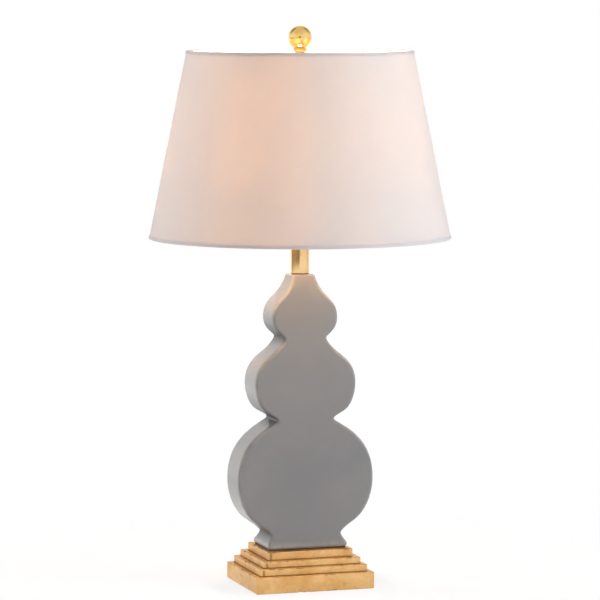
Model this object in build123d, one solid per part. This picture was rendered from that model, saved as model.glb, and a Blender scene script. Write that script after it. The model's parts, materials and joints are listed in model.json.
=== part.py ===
from build123d import *
import os
from math import sqrt

"""A table lamp: a flat three-lobed gourd of glazed ceramic on a stepped, gilded plinth, with a
tapered cloth shade held by a harp and a ball finial.

Millimetres. Z is up, the table is at zero, the lamp's axis is the Z axis, and the flat front of
the gourd looks along -Y. Each function below makes one piece where it sits in the lamp.
"""

# ---------------------------------------------------------------- clearances
running_gap = 0.1  # radial gap round a piece that turns or slides in another
pipe_gap = 0.25  # radial gap round the threaded pipe where it goes through a clamped piece
cover_gap = 0.3  # between the edge of the bottom cover and its rebate
rest_gap = 0.1  # between end faces that touch on the real lamp and move apart
cut = 1.0  # how far a cut runs past the face that it opens

# ---------------------------------------------------------------- plinth
pad_radius = 7.5
pad_stand = 1.0  # how far the pads hold the plinth off the table
pad_recess = 0.6
pad_spacing_x, pad_spacing_y = 112.0, 88.0
slab_length, slab_width, slab_height = 165.6, 140.8, 22.2
step_insets = (7.6, 7.0, 8.5)  # how far each step stands in from the one below, on every side
step_rises = (9.7, 8.9, 10.9)
step_corner = 2.0  # upright corners of each step
step_edge = 1.2  # top edge of each step
plinth_wall = 7.5
cover_thickness = 2.4
cover_rim = 4.0  # width of the plinth's wall that shows round the bottom cover
cover_corner = 3.0
cover_screw_radius, cover_screw_length = 1.5, 11.0
cover_screw_head = 3.2
cover_boss_radius = 5.5
cover_screw_inset = 12.8  # from the slab's sides to the screws

bush_height = 12.5  # the cord's bush, in the back of the slab
bush_bore = 3.2
bush_radius = 5.0
bush_flange = 7.0
bush_flange_thickness = 1.5
bush_lip = 1.0  # how far the bush reaches past the wall inside

# ---------------------------------------------------------------- gourd
gasket_thickness = 1.2
gasket_inset = 2.0
gourd_height = 368.1
gourd_wall = 6.0
gourd_floor = 7.0
gourd_top_edge = 15.9  # half the width of the flat top
foot_half_width, foot_half_depth = 55.8, 36.4
body_half_depth = 28.8
top_half_depth = 17.6
gourd_pipe_hole = 7.0
lip_lean = (0.4, 1.0)  # direction in which the foot's lip leaves the plinth

# Half width and height above the foot, from the foot's waist to the top of the gourd.
foot_waist = (49.3, 17.6)
lower_belly = (95.3, 92.1)
lower_waist = (40.0, 173.6)
middle_belly = (70.5, 223.1)
upper_waist = (29.8, 282.5)
upper_belly = (45.6, 312.1)

# The round at the bottom of each crease: its radius and the angles where it starts and ends.
foot_notch = (3.0, 195.0, 138.0)
lower_notch = (3.0, 238.0, 126.0)
upper_notch = (4.0, 210.0, 132.0)

# The foot's lip, as steps out from the foot's half width and up from its sole.
front_lip = ((-1.2, 0.0), (0.0, 3.6), (-3.2, 10.1))
side_lip = ((-0.6, 0.0), (0.0, 3.1))

# The side outline, as shares of its change in depth and of its rise.
flare_above_crease = 14.5  # where the foot's flare ends
taper_above_waist = 34.5  # where the taper starts, above the lower waist
side_flare = ((0.55, 0.315), (0.10, 0.595))
side_taper = ((0.84, 0.425), (0.68, 0.675), (0.44, 0.862))
top_lean_front, top_lean_side = (-0.12, 1.0), (-0.28, 1.0)

# The bulge of each flank, as shares of its reach from the waist and of its rise from the waist.
foot_tuck = ((0.537, 0.275), (0.885, 0.600))
lower_shoulder = ((0.841, 0.527), (0.485, 0.236))
middle_tuck = ((0.574, 0.253), (0.895, 0.576))
middle_shoulder = ((0.889, 0.680), (0.558, 0.411), (0.312, 0.276))
upper_tuck = ((0.405, 0.257), (0.804, 0.527))
neck_flare = ((0.805, 0.679), (0.428, 0.464), (0.155, 0.250))

# ---------------------------------------------------------------- pipe and neck
pipe_radius, pipe_bore = 4.85, 3.4
pipe_tail = 6.0  # below the nut
washer_radius, washer_thickness = 14.0, 2.0
nut_across, nut_height = 14.3, 4.0
neck_pad_thickness, neck_pad_inset = 1.0, 0.8
neck_radius, neck_wall, neck_length = 12.5, 1.2, 53.0
neck_ring_height = 3.0
neck_cap_radius, neck_cap_height, neck_cap_spigot = 14.0, 3.0, 3.0
neck_cap_edge = 0.8

# ---------------------------------------------------------------- socket
socket_neck_radius, socket_neck_height = 7.2, 9.0
socket_cap_radius, socket_cap_height = 18.2, 24.0
socket_wall = 0.8
socket_dome_rise, socket_dome_bevel = 5.0, 1.5
shell_wall = 0.5
shell_height = 61.0
shell_seat = 9.0  # how deep the shell sits in the cap
shell_rim = 1.6  # how far the flared rim stands out
shell_flare_start, shell_flare_end = 3.6, 2.0  # below the shell's top
liner_thickness = 0.8
block_height = 19.0
block_lift = 1.0  # from the shell's lower end to the block and the liner
screw_shell_radius, screw_shell_wall, screw_shell_height = 13.4, 0.5, 30.0
screw_shell_hole = 8.0
tongue_height = 3.0  # the centre contact's tip above the block
tongue_width, tongue_thickness = 5.0, 0.6
tongue_foot, tongue_tip = 6.0, 5.0
terminal_reach, terminal_height = 11.0, 6.0  # the screws' seats, from the axis and the underside
terminal_notch_width, terminal_notch_height = 14.0, 12.0
terminal_head_radius, terminal_head_height = 3.2, 2.2
terminal_shank_radius, terminal_shank_length = 1.45, 4.0
terminal_slot_width, terminal_slot_depth = 0.9, 0.7
set_screw_radius, set_screw_length = 1.5, 4.0
set_screw_slot_width, set_screw_slot_depth = 0.6, 0.6
switch_height = 13.0  # of the switch stem above the block's underside
switch_stem_radius, switch_stem_length = 2.1, 31.0
switch_stem_depth = 8.0  # how deep the stem sits in the block
switch_hole_radius = 3.6
knob_radius, knob_length, knob_roof = 5.6, 15.0, 1.5
paddle_width, paddle_thickness, paddle_length, paddle_edge = 16.0, 4.4, 11.0, 2.0

# ---------------------------------------------------------------- bulb
bulb_length = 108.0
bulb_radius = 30.0
bulb_cap_radius, bulb_cap_height, bulb_cap_wall = 13.05, 24.0, 0.4
bulb_tip_radius, bulb_tip_height = 4.5, 1.2
bulb_insulator_height, bulb_insulator_step = 2.2, 0.6
bulb_wall = 1.0
bulb_neck_radius = 12.3
bulb_neck_in_cap, bulb_neck_above_cap = 10.0, 2.0
bulb_shoulder_angle = -28.0  # where the globe ends and the flare to the neck starts
stem_radius, stem_height = 5.0, 34.0
filament_height, filament_spread, filament_wire = 22.0, 13.0, 0.5
filament_foot, filament_bend = 2.0, 1.5

# ---------------------------------------------------------------- harp
saddle_width, saddle_thickness, saddle_bend = 14.0, 1.6, 5.0
saddle_rise = 7.0
leg_spacing = 54.0
post_radius, post_height = 3.0, 12.0
post_bore_depth = 10.0
wire_radius = 1.8
sleeve_radius, sleeve_cover, sleeve_roof = 4.3, 9.0, 2.5
sleeve_travel = 10.5
leg_slack = 9.0  # from a raised sleeve to the corner of the wire's first bend
harp_width = 122.0  # between the centres of the wires, at the widest
harp_height = 215.0  # from the feet of the legs to the top of the plate
harp_swell = 44.0  # height over which each side swings out to its full width
harp_crown = 58.0  # height over which it swings back in
harp_crown_corner = (0.62, 13.0)  # share of the half width, and depth below the top
harp_top_corner = 0.32  # share of the half width where the wire is level again
harp_bends = [14.0, 34.0, 46.0, 16.0, 12.0]
harp_plate_radius, harp_plate_thickness = 9.0, 3.0
harp_wire_root = 3.0  # how far each wire reaches into the plate

# ---------------------------------------------------------------- swivel stud and finial
stud_radius, stud_head_radius, stud_head_height = 3.1, 5.0, 1.7
stud_flange_radius, stud_flange_height = 7.5, 2.0
stud_thread_length, stud_chamfer = 14.0, 0.8
hub_radius, hub_thickness, hub_hole_gap = 12.0, 3.0, 0.3
finial_washer_radius, finial_washer_thickness = 7.5, 0.8
finial_base_radius, finial_waist_radius, finial_bead_radius = 8.5, 5.4, 9.0
finial_collar_height = 16.1
finial_base_height, finial_cove_height = 1.8, 2.7
finial_bead_height, finial_bead_edge = 5.0, 1.0
finial_ball_radius = 15.8
finial_ball_seat = 1.9  # how deep the ball's underside is flattened
finial_spigot_radius, finial_spigot_height = 4.0, 6.0
finial_bore_depth = 11.6

# ---------------------------------------------------------------- shade
shade_bottom_radius, shade_top_radius = 203.2, 152.4
shade_height = 251.0
shade_recess = 13.3  # from the top rim down to the top of the hub
cloth_thickness, liner_sheet_thickness = 0.5, 0.5
trim_thickness, trim_height = 0.4, 3.6
ring_wire_radius, arm_wire_radius = 1.5, 1.5
arm_bend = 8.0
arm_root = 2.0  # how far an arm would reach into the hub before it is trimmed to it
arm_angles = (30.0, 150.0, 270.0)

# ---------------------------------------------------------------- heights and places worked out
slab_bottom = pad_stand
slab_top = slab_bottom + slab_height
plinth_top = slab_top + sum(step_rises)
ceiling = plinth_top - plinth_wall
gourd_base = plinth_top + gasket_thickness
gourd_top = gourd_base + gourd_height
neck_bottom = gourd_top + neck_pad_thickness
neck_top = neck_bottom + neck_length
saddle_bottom = neck_top + neck_cap_height
socket_bottom = saddle_bottom + saddle_thickness
shell_bottom = socket_bottom + socket_cap_height - shell_seat
shell_top = shell_bottom + shell_height
shell_radius = socket_cap_radius - socket_wall - running_gap
liner_radius = shell_radius - shell_wall - running_gap
block_bottom = shell_bottom + block_lift
block_top = block_bottom + block_height
block_radius = liner_radius - liner_thickness - running_gap
switch_z = block_bottom + switch_height
bulb_bottom = block_top + tongue_height + rest_gap
nut_bottom = ceiling - washer_thickness - nut_height
pipe_bottom = nut_bottom - pipe_tail
pipe_top = socket_bottom + socket_neck_height - cut
set_screw_z = socket_bottom + socket_neck_height / 2
switch_stem_end = -block_radius + switch_stem_depth  # how far in along Y the stem's bore goes
leg_x = leg_spacing / 2
post_bottom = saddle_bottom + saddle_rise
post_top = post_bottom + post_height
leg_bottom = post_top - post_bore_depth + rest_gap
harp_top = post_top - post_bore_depth + harp_height
flange_bottom = harp_top + rest_gap
hub_bottom = flange_bottom + stud_flange_height
hub_top = hub_bottom + hub_thickness
stud_top = hub_bottom + stud_thread_length
finial_bottom = hub_top + finial_washer_thickness
collar_top = finial_bottom + finial_collar_height
ball_centre = collar_top - finial_ball_seat + finial_ball_radius
shade_top = hub_top + shade_recess
shade_bottom = shade_top - shade_height
shade_slope = (shade_bottom_radius - shade_top_radius) / shade_height
slant = sqrt(1 + shade_slope**2)  # turns a thickness into a horizontal distance

upright = (Align.CENTER, Align.CENTER, Align.MIN)


# ---------------------------------------------------------------- helpers
def turned(points):
    """A solid of revolution round the lamp's axis, from corners given as radius and height."""
    return revolve(Plane.XZ * make_face(Polyline(points, close=True)), Axis.Z)


def tube(outer, inner, bottom, top):
    """An upright round tube on the lamp's axis."""
    return turned([(inner, bottom), (outer, bottom), (outer, top), (inner, top)])


def rod(radius, bottom, top, x=0.0, y=0.0):
    """An upright round rod."""
    return Pos(x, y, bottom) * Cylinder(radius, top - bottom, align=upright)


def rod_along_y(radius, start, end, height, x=0.0):
    """A round rod that lies along Y."""
    return Pos(x, start, height) * Rot(-90, 0, 0) * Cylinder(radius, end - start, align=upright)


def corner_places(spacing_x, spacing_y):
    """The four corners of a rectangle round the axis."""
    return [(sx * spacing_x / 2, sy * spacing_y / 2) for sx in (-1, 1) for sy in (-1, 1)]


def bent_rod(points, radii, radius):
    """A round rod along a filleted path in the XZ plane, given as X and height."""
    path = Plane.XZ * FilletPolyline(*points, radius=radii)
    section = Plane(path @ 0, z_dir=path % 0) * Circle(radius)
    return sweep(section, path)


def cone_radius(height, inset=0.0):
    """The radius of the shade's slanted outside, less a thickness, at a height."""
    return shade_bottom_radius - shade_slope * (height - shade_bottom) - inset * slant


# ---------------------------------------------------------------- plinth
def plinth_tiers():
    """Length, width and top of each tier of the plinth, from the slab up."""
    tiers = [(slab_length, slab_width, slab_top)]
    for inset, rise in zip(step_insets, step_rises):
        length, width, top = tiers[-1]
        tiers.append((length - 2 * inset, width - 2 * inset, top + rise))
    return tiers


def rounded_tier(length, width, bottom, top):
    """One tier of the plinth with its upright corners and top edge rounded."""
    block = Pos(0, 0, bottom) * Box(length, width, top - bottom, align=upright)
    block = fillet(block.edges().filter_by(Axis.Z), step_corner)
    return fillet(block.faces().sort_by(Axis.Z)[-1].edges(), step_edge)


def plinth():
    """The stepped resin plinth, hollow underneath, with bosses for the cover's screws."""
    tiers = plinth_tiers()
    outside, hollow = Part(), Part()
    for length, width, top in tiers:
        outside += rounded_tier(length, width, slab_bottom, top)
        hollow += Box(
            length - 2 * plinth_wall, width - 2 * plinth_wall, top - plinth_wall, align=upright
        )
    body = outside - hollow
    for x, y in cover_screw_places():
        body += rod(cover_boss_radius, slab_bottom, slab_top - plinth_wall + cut, x, y)
    body -= cover_plate_blank(cover_gap)
    for x, y in cover_screw_places():
        body -= rod(cover_screw_radius, slab_bottom, slab_bottom + cover_screw_length + cut, x, y)
    body -= rod(pipe_radius + pipe_gap, ceiling - cut, plinth_top + cut)
    return body - rod_along_y(bush_radius + running_gap, 0, slab_width, bush_height)


def cover_screw_places():
    """The corners where the bottom cover is screwed on."""
    return corner_places(
        slab_length - 2 * cover_screw_inset, slab_width - 2 * cover_screw_inset
    )


def cover_plate_blank(growth=0.0):
    """The cover's plain outline, grown on every side for its rebate."""
    length = slab_length - 2 * cover_rim - 2 * cover_gap + 2 * growth
    width = slab_width - 2 * cover_rim - 2 * cover_gap + 2 * growth
    plate = Pos(0, 0, slab_bottom) * Box(length, width, cover_thickness, align=upright)
    return fillet(plate.edges().filter_by(Axis.Z), cover_corner)


def countersunk(radius, head, bottom, top, x, y):
    """A screw whose cone head is flush with its lower end."""
    cone = head - radius
    points = [(0, bottom), (head, bottom), (radius, bottom + cone), (radius, top), (0, top)]
    return Pos(x, y, 0) * turned(points)


def bottom_cover():
    """The board that closes the plinth from below."""
    plate = cover_plate_blank()
    for x, y in cover_screw_places():
        plate -= countersunk(
            cover_screw_radius + running_gap,
            cover_screw_head + running_gap,
            slab_bottom,
            slab_bottom + cover_thickness + cut,
            x,
            y,
        )
    for x, y in corner_places(pad_spacing_x, pad_spacing_y):
        plate -= rod(pad_radius + running_gap, 0, slab_bottom + pad_recess, x, y)
    return plate


def cover_screws():
    """The four countersunk screws of the bottom cover."""
    screws = Part()
    for x, y in cover_screw_places():
        screws += countersunk(
            cover_screw_radius - running_gap / 2,
            cover_screw_head,
            slab_bottom,
            slab_bottom + cover_screw_length,
            x,
            y,
        )
    return screws


def base_pads():
    """The four felt pads that the lamp stands on."""
    pads = Part()
    for x, y in corner_places(pad_spacing_x, pad_spacing_y):
        pads += rod(pad_radius, 0, slab_bottom + pad_recess, x, y)
    return pads


def cord_bush():
    """The flanged bush in the back of the slab, where the cord would go in."""
    outside = slab_width / 2
    inside = outside - plinth_wall - bush_lip
    bush = rod_along_y(bush_radius, inside, outside, bush_height)
    face = outside + bush_flange_thickness
    bush += rod_along_y(bush_flange, outside, face, bush_height)
    return bush - rod_along_y(bush_bore, inside - cut, face + cut, bush_height)


# ---------------------------------------------------------------- gourd
def flank(waist, belly, shares):
    """Points between a waist and a belly, from shares of the reach and of the rise."""
    return [
        (waist[0] + reach * (belly[0] - waist[0]), waist[1] + rise * (belly[1] - waist[1]))
        for reach, rise in shares
    ]


def notch(waist, size):
    """The small round at the bottom of a crease between two lobes."""
    radius, start, end = size
    return CenterArc((waist[0] + radius, waist[1]), radius, start, end - start)


def narrowed(points, inset):
    """Points of the outline moved in towards the axis."""
    return [(x - inset, z) for x, z in points]


def lip_points(edge, steps):
    """Points of the foot's lip, from steps out from its edge and up from its sole."""
    return [(edge + out, up) for out, up in steps]


def gourd_outline(inset=0.0):
    """The right-hand outline of the gourd, from its foot to its top, above the foot."""
    top = (gourd_top_edge - inset, gourd_height)
    foot, lower, upper = narrowed((foot_waist, lower_waist, upper_waist), inset)
    low_belly, mid_belly, high_belly = narrowed((lower_belly, middle_belly, upper_belly), inset)
    foot_round, lower_round = notch(foot, foot_notch), notch(lower, lower_notch)
    upper_round = notch(upper, upper_notch)
    lip = Spline(
        *lip_points(foot_half_width - inset, front_lip),
        foot_round @ 0,
        tangents=(lip_lean, foot_round % 0),
    )
    lower_lobe = Spline(
        foot_round @ 1,
        *flank(foot, low_belly, foot_tuck),
        low_belly,
        *flank(lower, low_belly, lower_shoulder),
        lower_round @ 0,
        tangents=(foot_round % 1, lower_round % 0),
    )
    middle_lobe = Spline(
        lower_round @ 1,
        *flank(lower, mid_belly, middle_tuck),
        mid_belly,
        *flank(upper, mid_belly, middle_shoulder),
        upper_round @ 0,
        tangents=(lower_round % 1, upper_round % 0),
    )
    upper_lobe = Spline(
        upper_round @ 1,
        *flank(upper, high_belly, upper_tuck),
        high_belly,
        *flank(top, high_belly, neck_flare),
        top,
        tangents=(upper_round % 1, top_lean_front),
    )
    return [lip, foot_round, lower_lobe, lower_round, middle_lobe, upper_round, upper_lobe]


def gourd_side(inset=0.0):
    """The outline of the gourd's front face seen from the side, above the foot."""
    deep, even, top = (d - inset for d in (foot_half_depth, body_half_depth, top_half_depth))
    flare_end = (even, foot_waist[1] + flare_above_crease)
    taper_start = (even, lower_waist[1] + taper_above_waist)
    flare = Spline(
        *lip_points(deep, side_lip),
        *flank((even, 0), (deep, flare_end[1]), side_flare),
        flare_end,
        tangents=(lip_lean, (0, 1)),
    )
    taper = Spline(
        taper_start,
        *flank((top, taper_start[1]), (even, gourd_height), side_taper),
        (top, gourd_height),
        tangents=((0, 1), top_lean_side),
    )
    return [flare, Line(flare_end, taper_start), taper]


def mirrored_face(half):
    """A face between a half outline and its mirror image."""
    start, end = half[0] @ 0, half[-1] @ 1
    closing = Polyline(end, (0, end.Y), (0, start.Y), start)
    right = make_face(Curve() + [*half, closing])
    return right + mirror(right, about=Plane.YZ)


def gourd_form(inset=0.0):
    """The slab that the front outline and the side outline share."""
    deep, wide = foot_half_depth + cut, lower_belly[0] + cut
    front = extrude(Plane.XZ * mirrored_face(gourd_outline(inset)), amount=deep, both=True)
    side = extrude(Plane.YZ * mirrored_face(gourd_side(inset)), amount=wide, both=True)
    return Pos(0, 0, gourd_base) * (front & side)


def gourd_body():
    """The hollow ceramic gourd, with a hole for the pipe in its floor and its top."""
    room = Pos(0, 0, gourd_base + gourd_floor) * Box(
        2 * lower_belly[0], 2 * foot_half_depth, gourd_height - 2 * gourd_floor, align=upright
    )
    body = gourd_form() - (gourd_form(gourd_wall) & room)
    return body - rod(gourd_pipe_hole, gourd_base - cut, gourd_top + cut)


def seat_gasket():
    """The thin pad between the plinth and the gourd's foot."""
    pad = Pos(0, 0, plinth_top) * Box(
        2 * (foot_half_width - gasket_inset),
        2 * (foot_half_depth - gasket_inset),
        gasket_thickness,
        align=upright,
    )
    pad = fillet(pad.edges().filter_by(Axis.Z), step_corner)
    return pad - rod(gourd_pipe_hole, plinth_top - cut, gourd_base + cut)


# ---------------------------------------------------------------- pipe and neck
def lamp_pipe():
    """The threaded pipe that clamps the whole lamp together and carries the cord."""
    return tube(pipe_radius, pipe_bore, pipe_bottom, pipe_top)


def base_washer():
    """The washer under the plinth's ceiling."""
    return tube(washer_radius, pipe_radius + pipe_gap, ceiling - washer_thickness, ceiling)


def base_nut():
    """The hexagon nut that pulls the pipe tight."""
    outline = RegularPolygon(nut_across / 2, 6, major_radius=False)
    nut = Pos(0, 0, nut_bottom) * extrude(outline, nut_height)
    nut_top = nut_bottom + nut_height
    return nut - rod(pipe_radius + running_gap / 2, nut_bottom - cut, nut_top + cut)


def neck_pad():
    """The thin dark pad between the ceramic and the brass neck."""
    return tube(neck_radius - neck_pad_inset, pipe_radius + pipe_gap, gourd_top, neck_bottom)


def neck_ring():
    """The ring that centres the neck's lower end on the pipe."""
    outer = neck_radius - neck_wall - running_gap
    return tube(outer, pipe_radius + pipe_gap, neck_bottom, neck_bottom + neck_ring_height)


def neck_tube():
    """The polished brass neck."""
    return tube(neck_radius, neck_radius - neck_wall, neck_bottom, neck_top)


def neck_cap():
    """The cap on the neck, with a spigot that centres it in the tube."""
    cap = tube(neck_cap_radius, pipe_radius + pipe_gap, neck_top, neck_top + neck_cap_height)
    rims = cap.edges().filter_by(GeomType.CIRCLE).sort_by(SortBy.RADIUS)[-2:]
    cap = fillet(rims, neck_cap_edge)
    outer = neck_radius - neck_wall - running_gap
    return cap + tube(outer, pipe_radius + pipe_gap, neck_top - neck_cap_spigot, neck_top)


# ---------------------------------------------------------------- socket
def socket_cap():
    """The brass cup that screws onto the pipe and holds the socket's shell."""
    hole = pipe_radius + running_gap / 2
    neck, wide, inner = socket_neck_radius, socket_cap_radius, socket_cap_radius - socket_wall
    low, shoulder = socket_bottom, socket_bottom + socket_neck_height
    dome, bevel = shoulder + socket_dome_rise, socket_dome_bevel
    rim = socket_bottom + socket_cap_height
    cap = turned(
        [
            (hole, low),
            (neck, low),
            (neck, shoulder - socket_wall),
            (wide - bevel, dome - bevel - socket_wall),
            (wide, dome - socket_wall),
            (wide, rim),
            (inner, rim),
            (inner, dome),
            (inner - bevel, dome - bevel),
            (neck, shoulder),
            (hole, shoulder),
        ]
    )
    return cap - rod_along_y(set_screw_radius, 0, neck + cut, set_screw_z)


def cap_set_screw():
    """The small screw that locks the socket cap on the pipe."""
    start = pipe_radius + rest_gap
    end = start + set_screw_length
    screw = rod_along_y(set_screw_radius - running_gap / 2, start, end, set_screw_z)
    slot_size = (2 * set_screw_radius + cut, 2 * set_screw_slot_depth, set_screw_slot_width)
    return screw - Pos(0, end, set_screw_z) * Box(*slot_size)


def switch_hole():
    """What the switch stem's hole takes out of the shell and its liner."""
    return rod_along_y(switch_hole_radius, -shell_radius - cut, 0, switch_z)


def socket_shell():
    """The brass shell, with a flared rim and the hole for the switch stem."""
    outer, inner = shell_radius, shell_radius - shell_wall
    flare_start, flare_end = shell_top - shell_flare_start, shell_top - shell_flare_end
    shell = turned(
        [
            (inner, shell_bottom),
            (outer, shell_bottom),
            (outer, flare_start),
            (outer + shell_rim, flare_end),
            (outer + shell_rim, shell_top),
            (inner + shell_rim, shell_top),
            (inner + shell_rim, flare_end + shell_wall / 2),
            (inner, flare_start + shell_wall / 2),
        ]
    )
    return shell - switch_hole()


def shell_liner():
    """The insulating sleeve inside the shell."""
    inner = liner_radius - liner_thickness
    return tube(liner_radius, inner, block_bottom, shell_top - shell_flare_start) - switch_hole()


def terminal_place(side):
    """Where a terminal screw's head meets its seat, with its own Z outwards."""
    return Pos(side * terminal_reach, 0, block_bottom + terminal_height) * Rot(0, 90 * side, 0)


def socket_block():
    """The moulded block that holds the contacts, the terminals and the switch."""
    block = rod(block_radius, block_bottom, block_top)
    for side in (-1, 1):
        seat = Box(terminal_notch_height, terminal_notch_width, block_radius, align=upright)
        hole_radius = terminal_shank_radius + running_gap / 2
        hole = Pos(0, 0, -terminal_shank_length - cut) * Cylinder(
            hole_radius, terminal_shank_length + cut, align=upright
        )
        block -= terminal_place(side) * (seat + hole)
    stem_bore = switch_stem_radius + running_gap
    return block - rod_along_y(stem_bore, -block_radius - cut, switch_stem_end, switch_z)


def terminal_screws():
    """The two screws that the cord's wires go under."""
    screws = Part()
    head = Cylinder(terminal_head_radius, terminal_head_height, align=upright)
    shank = Cylinder(terminal_shank_radius, terminal_shank_length, align=upright)
    slot = Box(terminal_slot_width, 2 * terminal_head_radius + cut, 2 * terminal_slot_depth)
    screw = head + Pos(0, 0, -terminal_shank_length) * shank
    screw -= Pos(0, 0, terminal_head_height) * slot
    for side in (-1, 1):
        screws += terminal_place(side) * screw
    return screws


def screw_shell():
    """The threaded metal shell that the bulb's cap screws into."""
    cup = tube(
        screw_shell_radius + screw_shell_wall,
        screw_shell_radius,
        block_top,
        block_top + screw_shell_height,
    )
    floor = block_top + screw_shell_wall
    return cup + tube(screw_shell_radius, screw_shell_hole, block_top, floor)


def centre_contact():
    """The springy tongue under the bulb's tip."""
    foot = Box(tongue_foot, tongue_width, tongue_thickness, align=upright)
    riser = Box(tongue_thickness, tongue_width, tongue_height, align=upright)
    tip = Box(tongue_tip, tongue_width, tongue_thickness, align=upright)
    tongue = Pos(-tongue_foot / 2, 0, 0) * foot
    tongue += Pos(-tongue_thickness / 2, 0, 0) * riser
    tongue += Pos(tongue_tip / 2 - tongue_thickness, 0, tongue_height - tongue_thickness) * tip
    return Pos(0, 0, block_top) * tongue


def switch_stem():
    """The stem of the turn switch, out through the front of the shell."""
    end = switch_stem_end - rest_gap
    return rod_along_y(switch_stem_radius, end - switch_stem_length, end, switch_z)


def switch_knob():
    """The paddle knob on the end of the stem."""
    stem_tip = switch_stem_end - rest_gap - switch_stem_length
    face = stem_tip - knob_roof
    knob = rod_along_y(knob_radius, face, face + knob_length, switch_z)
    paddle = Box(paddle_width, paddle_length, paddle_thickness)
    paddle = fillet(paddle.edges().filter_by(Axis.Y), paddle_edge)
    knob += Pos(0, face + paddle_length / 2, switch_z) * paddle
    return knob - rod_along_y(switch_stem_radius, stem_tip, 0, switch_z)


# ---------------------------------------------------------------- bulb
def bulb_levels():
    """The heights where the bulb's tip, insulator, cap and top end."""
    insulator = bulb_bottom + bulb_tip_height
    cap = insulator + bulb_insulator_height
    return insulator, cap, cap + bulb_cap_height, bulb_bottom + bulb_length


def bulb_tip():
    """The contact at the bottom of the bulb."""
    return rod(bulb_tip_radius, bulb_bottom, bulb_bottom + bulb_tip_height)


def bulb_insulator():
    """The dark glass between the bulb's two contacts."""
    low, high, _, _ = bulb_levels()
    narrow, wide = bulb_tip_radius + bulb_insulator_step, bulb_cap_radius - bulb_insulator_step
    return turned([(0, low), (narrow, low), (wide, high), (0, high)])


def bulb_cap():
    """The bulb's screw cap."""
    _, low, high, _ = bulb_levels()
    inner = bulb_cap_radius - bulb_cap_wall
    floor = low + bulb_cap_wall
    corners = [(0, low), (bulb_cap_radius, low), (bulb_cap_radius, high), (inner, high)]
    return turned([*corners, (inner, floor), (0, floor)])


def bulb_outline(inset):
    """Half of the bulb's pear-shaped section, from its neck in the cap to its crown."""
    _, _, cap_top, crown = bulb_levels()
    globe = bulb_radius - inset
    centre = crown - bulb_radius
    neck = bulb_neck_radius - inset
    dome = CenterArc((0, centre), globe, bulb_shoulder_angle, 90 - bulb_shoulder_angle)
    foot = Line((neck, cap_top - bulb_neck_in_cap), (neck, cap_top + bulb_neck_above_cap))
    flare = Spline(foot @ 1, dome @ 0, tangents=(foot % 1, dome % 0))
    return [foot, flare, dome]


def pear(inset):
    """The bulb's outside, or its inside where a wall is taken off, turned about the axis."""
    lines = bulb_outline(inset)
    start, end = lines[0] @ 0, lines[-1] @ 1
    closing = [Line(end, (0, start.Y)), Line((0, start.Y), start)]
    return revolve(Plane.XZ * make_face(Curve() + [*lines, *closing]), Axis.Z)


def bulb_glass():
    """The frosted glass of the bulb."""
    return pear(0.0) - pear(bulb_wall)


def bulb_stem():
    """The glass stem that carries the filament."""
    _, low, _, _ = bulb_levels()
    return rod(stem_radius, low + bulb_cap_wall, low + bulb_cap_wall + stem_height)


def bulb_filament():
    """The filament and its two lead wires, one V-shaped piece with a bar across."""
    _, low, _, _ = bulb_levels()
    base = low + bulb_cap_wall + stem_height
    top = base + filament_height
    foot, spread = filament_foot, filament_spread
    points = [(-foot, base), (-spread, top), (spread, top), (foot, base)]
    return bent_rod(points, [filament_bend, filament_bend], filament_wire) - bulb_stem()


# ---------------------------------------------------------------- harp
def harp_saddle():
    """The bent strip under the socket, with a post at each end for the harp's legs."""
    middle = saddle_bottom + saddle_thickness / 2
    points = [(-leg_x, post_bottom), (-leg_x, middle), (leg_x, middle), (leg_x, post_bottom)]
    strip_line = FilletPolyline(*points, radius=saddle_bend)
    strip = extrude(Plane.XZ * trace(strip_line, saddle_thickness), saddle_width / 2, both=True)
    ear_trim = Polyline(
        (post_radius, post_bottom + cut),
        (saddle_width / 2, socket_bottom),
        (saddle_width, socket_bottom),
        (saddle_width, post_bottom + cut),
        close=True,
    )
    trim = extrude(Plane.YZ * make_face(ear_trim), leg_spacing, both=True)
    strip = strip - trim - mirror(trim, about=Plane.XZ)
    for x in (-leg_x, leg_x):
        strip += rod(post_radius, post_bottom - saddle_thickness / 2, post_top, x)
    for x in (-leg_x, leg_x):
        strip -= rod(wire_radius + running_gap, post_top - post_bore_depth, post_top + cut, x)
    return strip - rod(pipe_radius + pipe_gap, saddle_bottom - cut, socket_bottom + cut)


def harp_side():
    """One side of the harp's wire, from its leg to the edge of the top plate."""
    wide = harp_width / 2
    wire_top = harp_top - harp_plate_thickness / 2
    leg_top = post_top + rest_gap + sleeve_roof + sleeve_travel + leg_slack
    share, drop = harp_crown_corner
    points = [
        (leg_x, leg_bottom),
        (leg_x, leg_top),
        (wide, leg_top + harp_swell),
        (wide, wire_top - harp_crown),
        (share * wide, wire_top - drop),
        (harp_top_corner * wide, wire_top),
        (harp_plate_radius - harp_wire_root, wire_top),
    ]
    return bent_rod(points, harp_bends, wire_radius)


def harp():
    """The wire harp with the plate that its swivel stud turns in."""
    side = harp_side()
    plate_bottom = harp_top - harp_plate_thickness
    wire = side + mirror(side, about=Plane.YZ)
    wire -= rod(harp_plate_radius, plate_bottom - harp_plate_thickness, plate_bottom)
    wire -= rod(harp_plate_radius, harp_top, harp_top + harp_plate_thickness)
    plate = rod(harp_plate_radius, plate_bottom, harp_top)
    return wire + plate - rod(stud_radius + running_gap, plate_bottom - cut, harp_top + cut)


def harp_sleeve(x):
    """A sleeve that slides down the leg over its post and locks it."""
    bottom = post_top - sleeve_cover
    roof = post_top + rest_gap
    sleeve = rod(sleeve_radius, bottom, roof + sleeve_roof, x)
    sleeve -= rod(post_radius + running_gap, bottom - cut, roof, x)
    return sleeve - rod(wire_radius + running_gap, bottom, roof + sleeve_roof + cut, x)


def sleeve_left():
    """The sleeve of the left leg."""
    return harp_sleeve(-leg_x)


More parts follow.
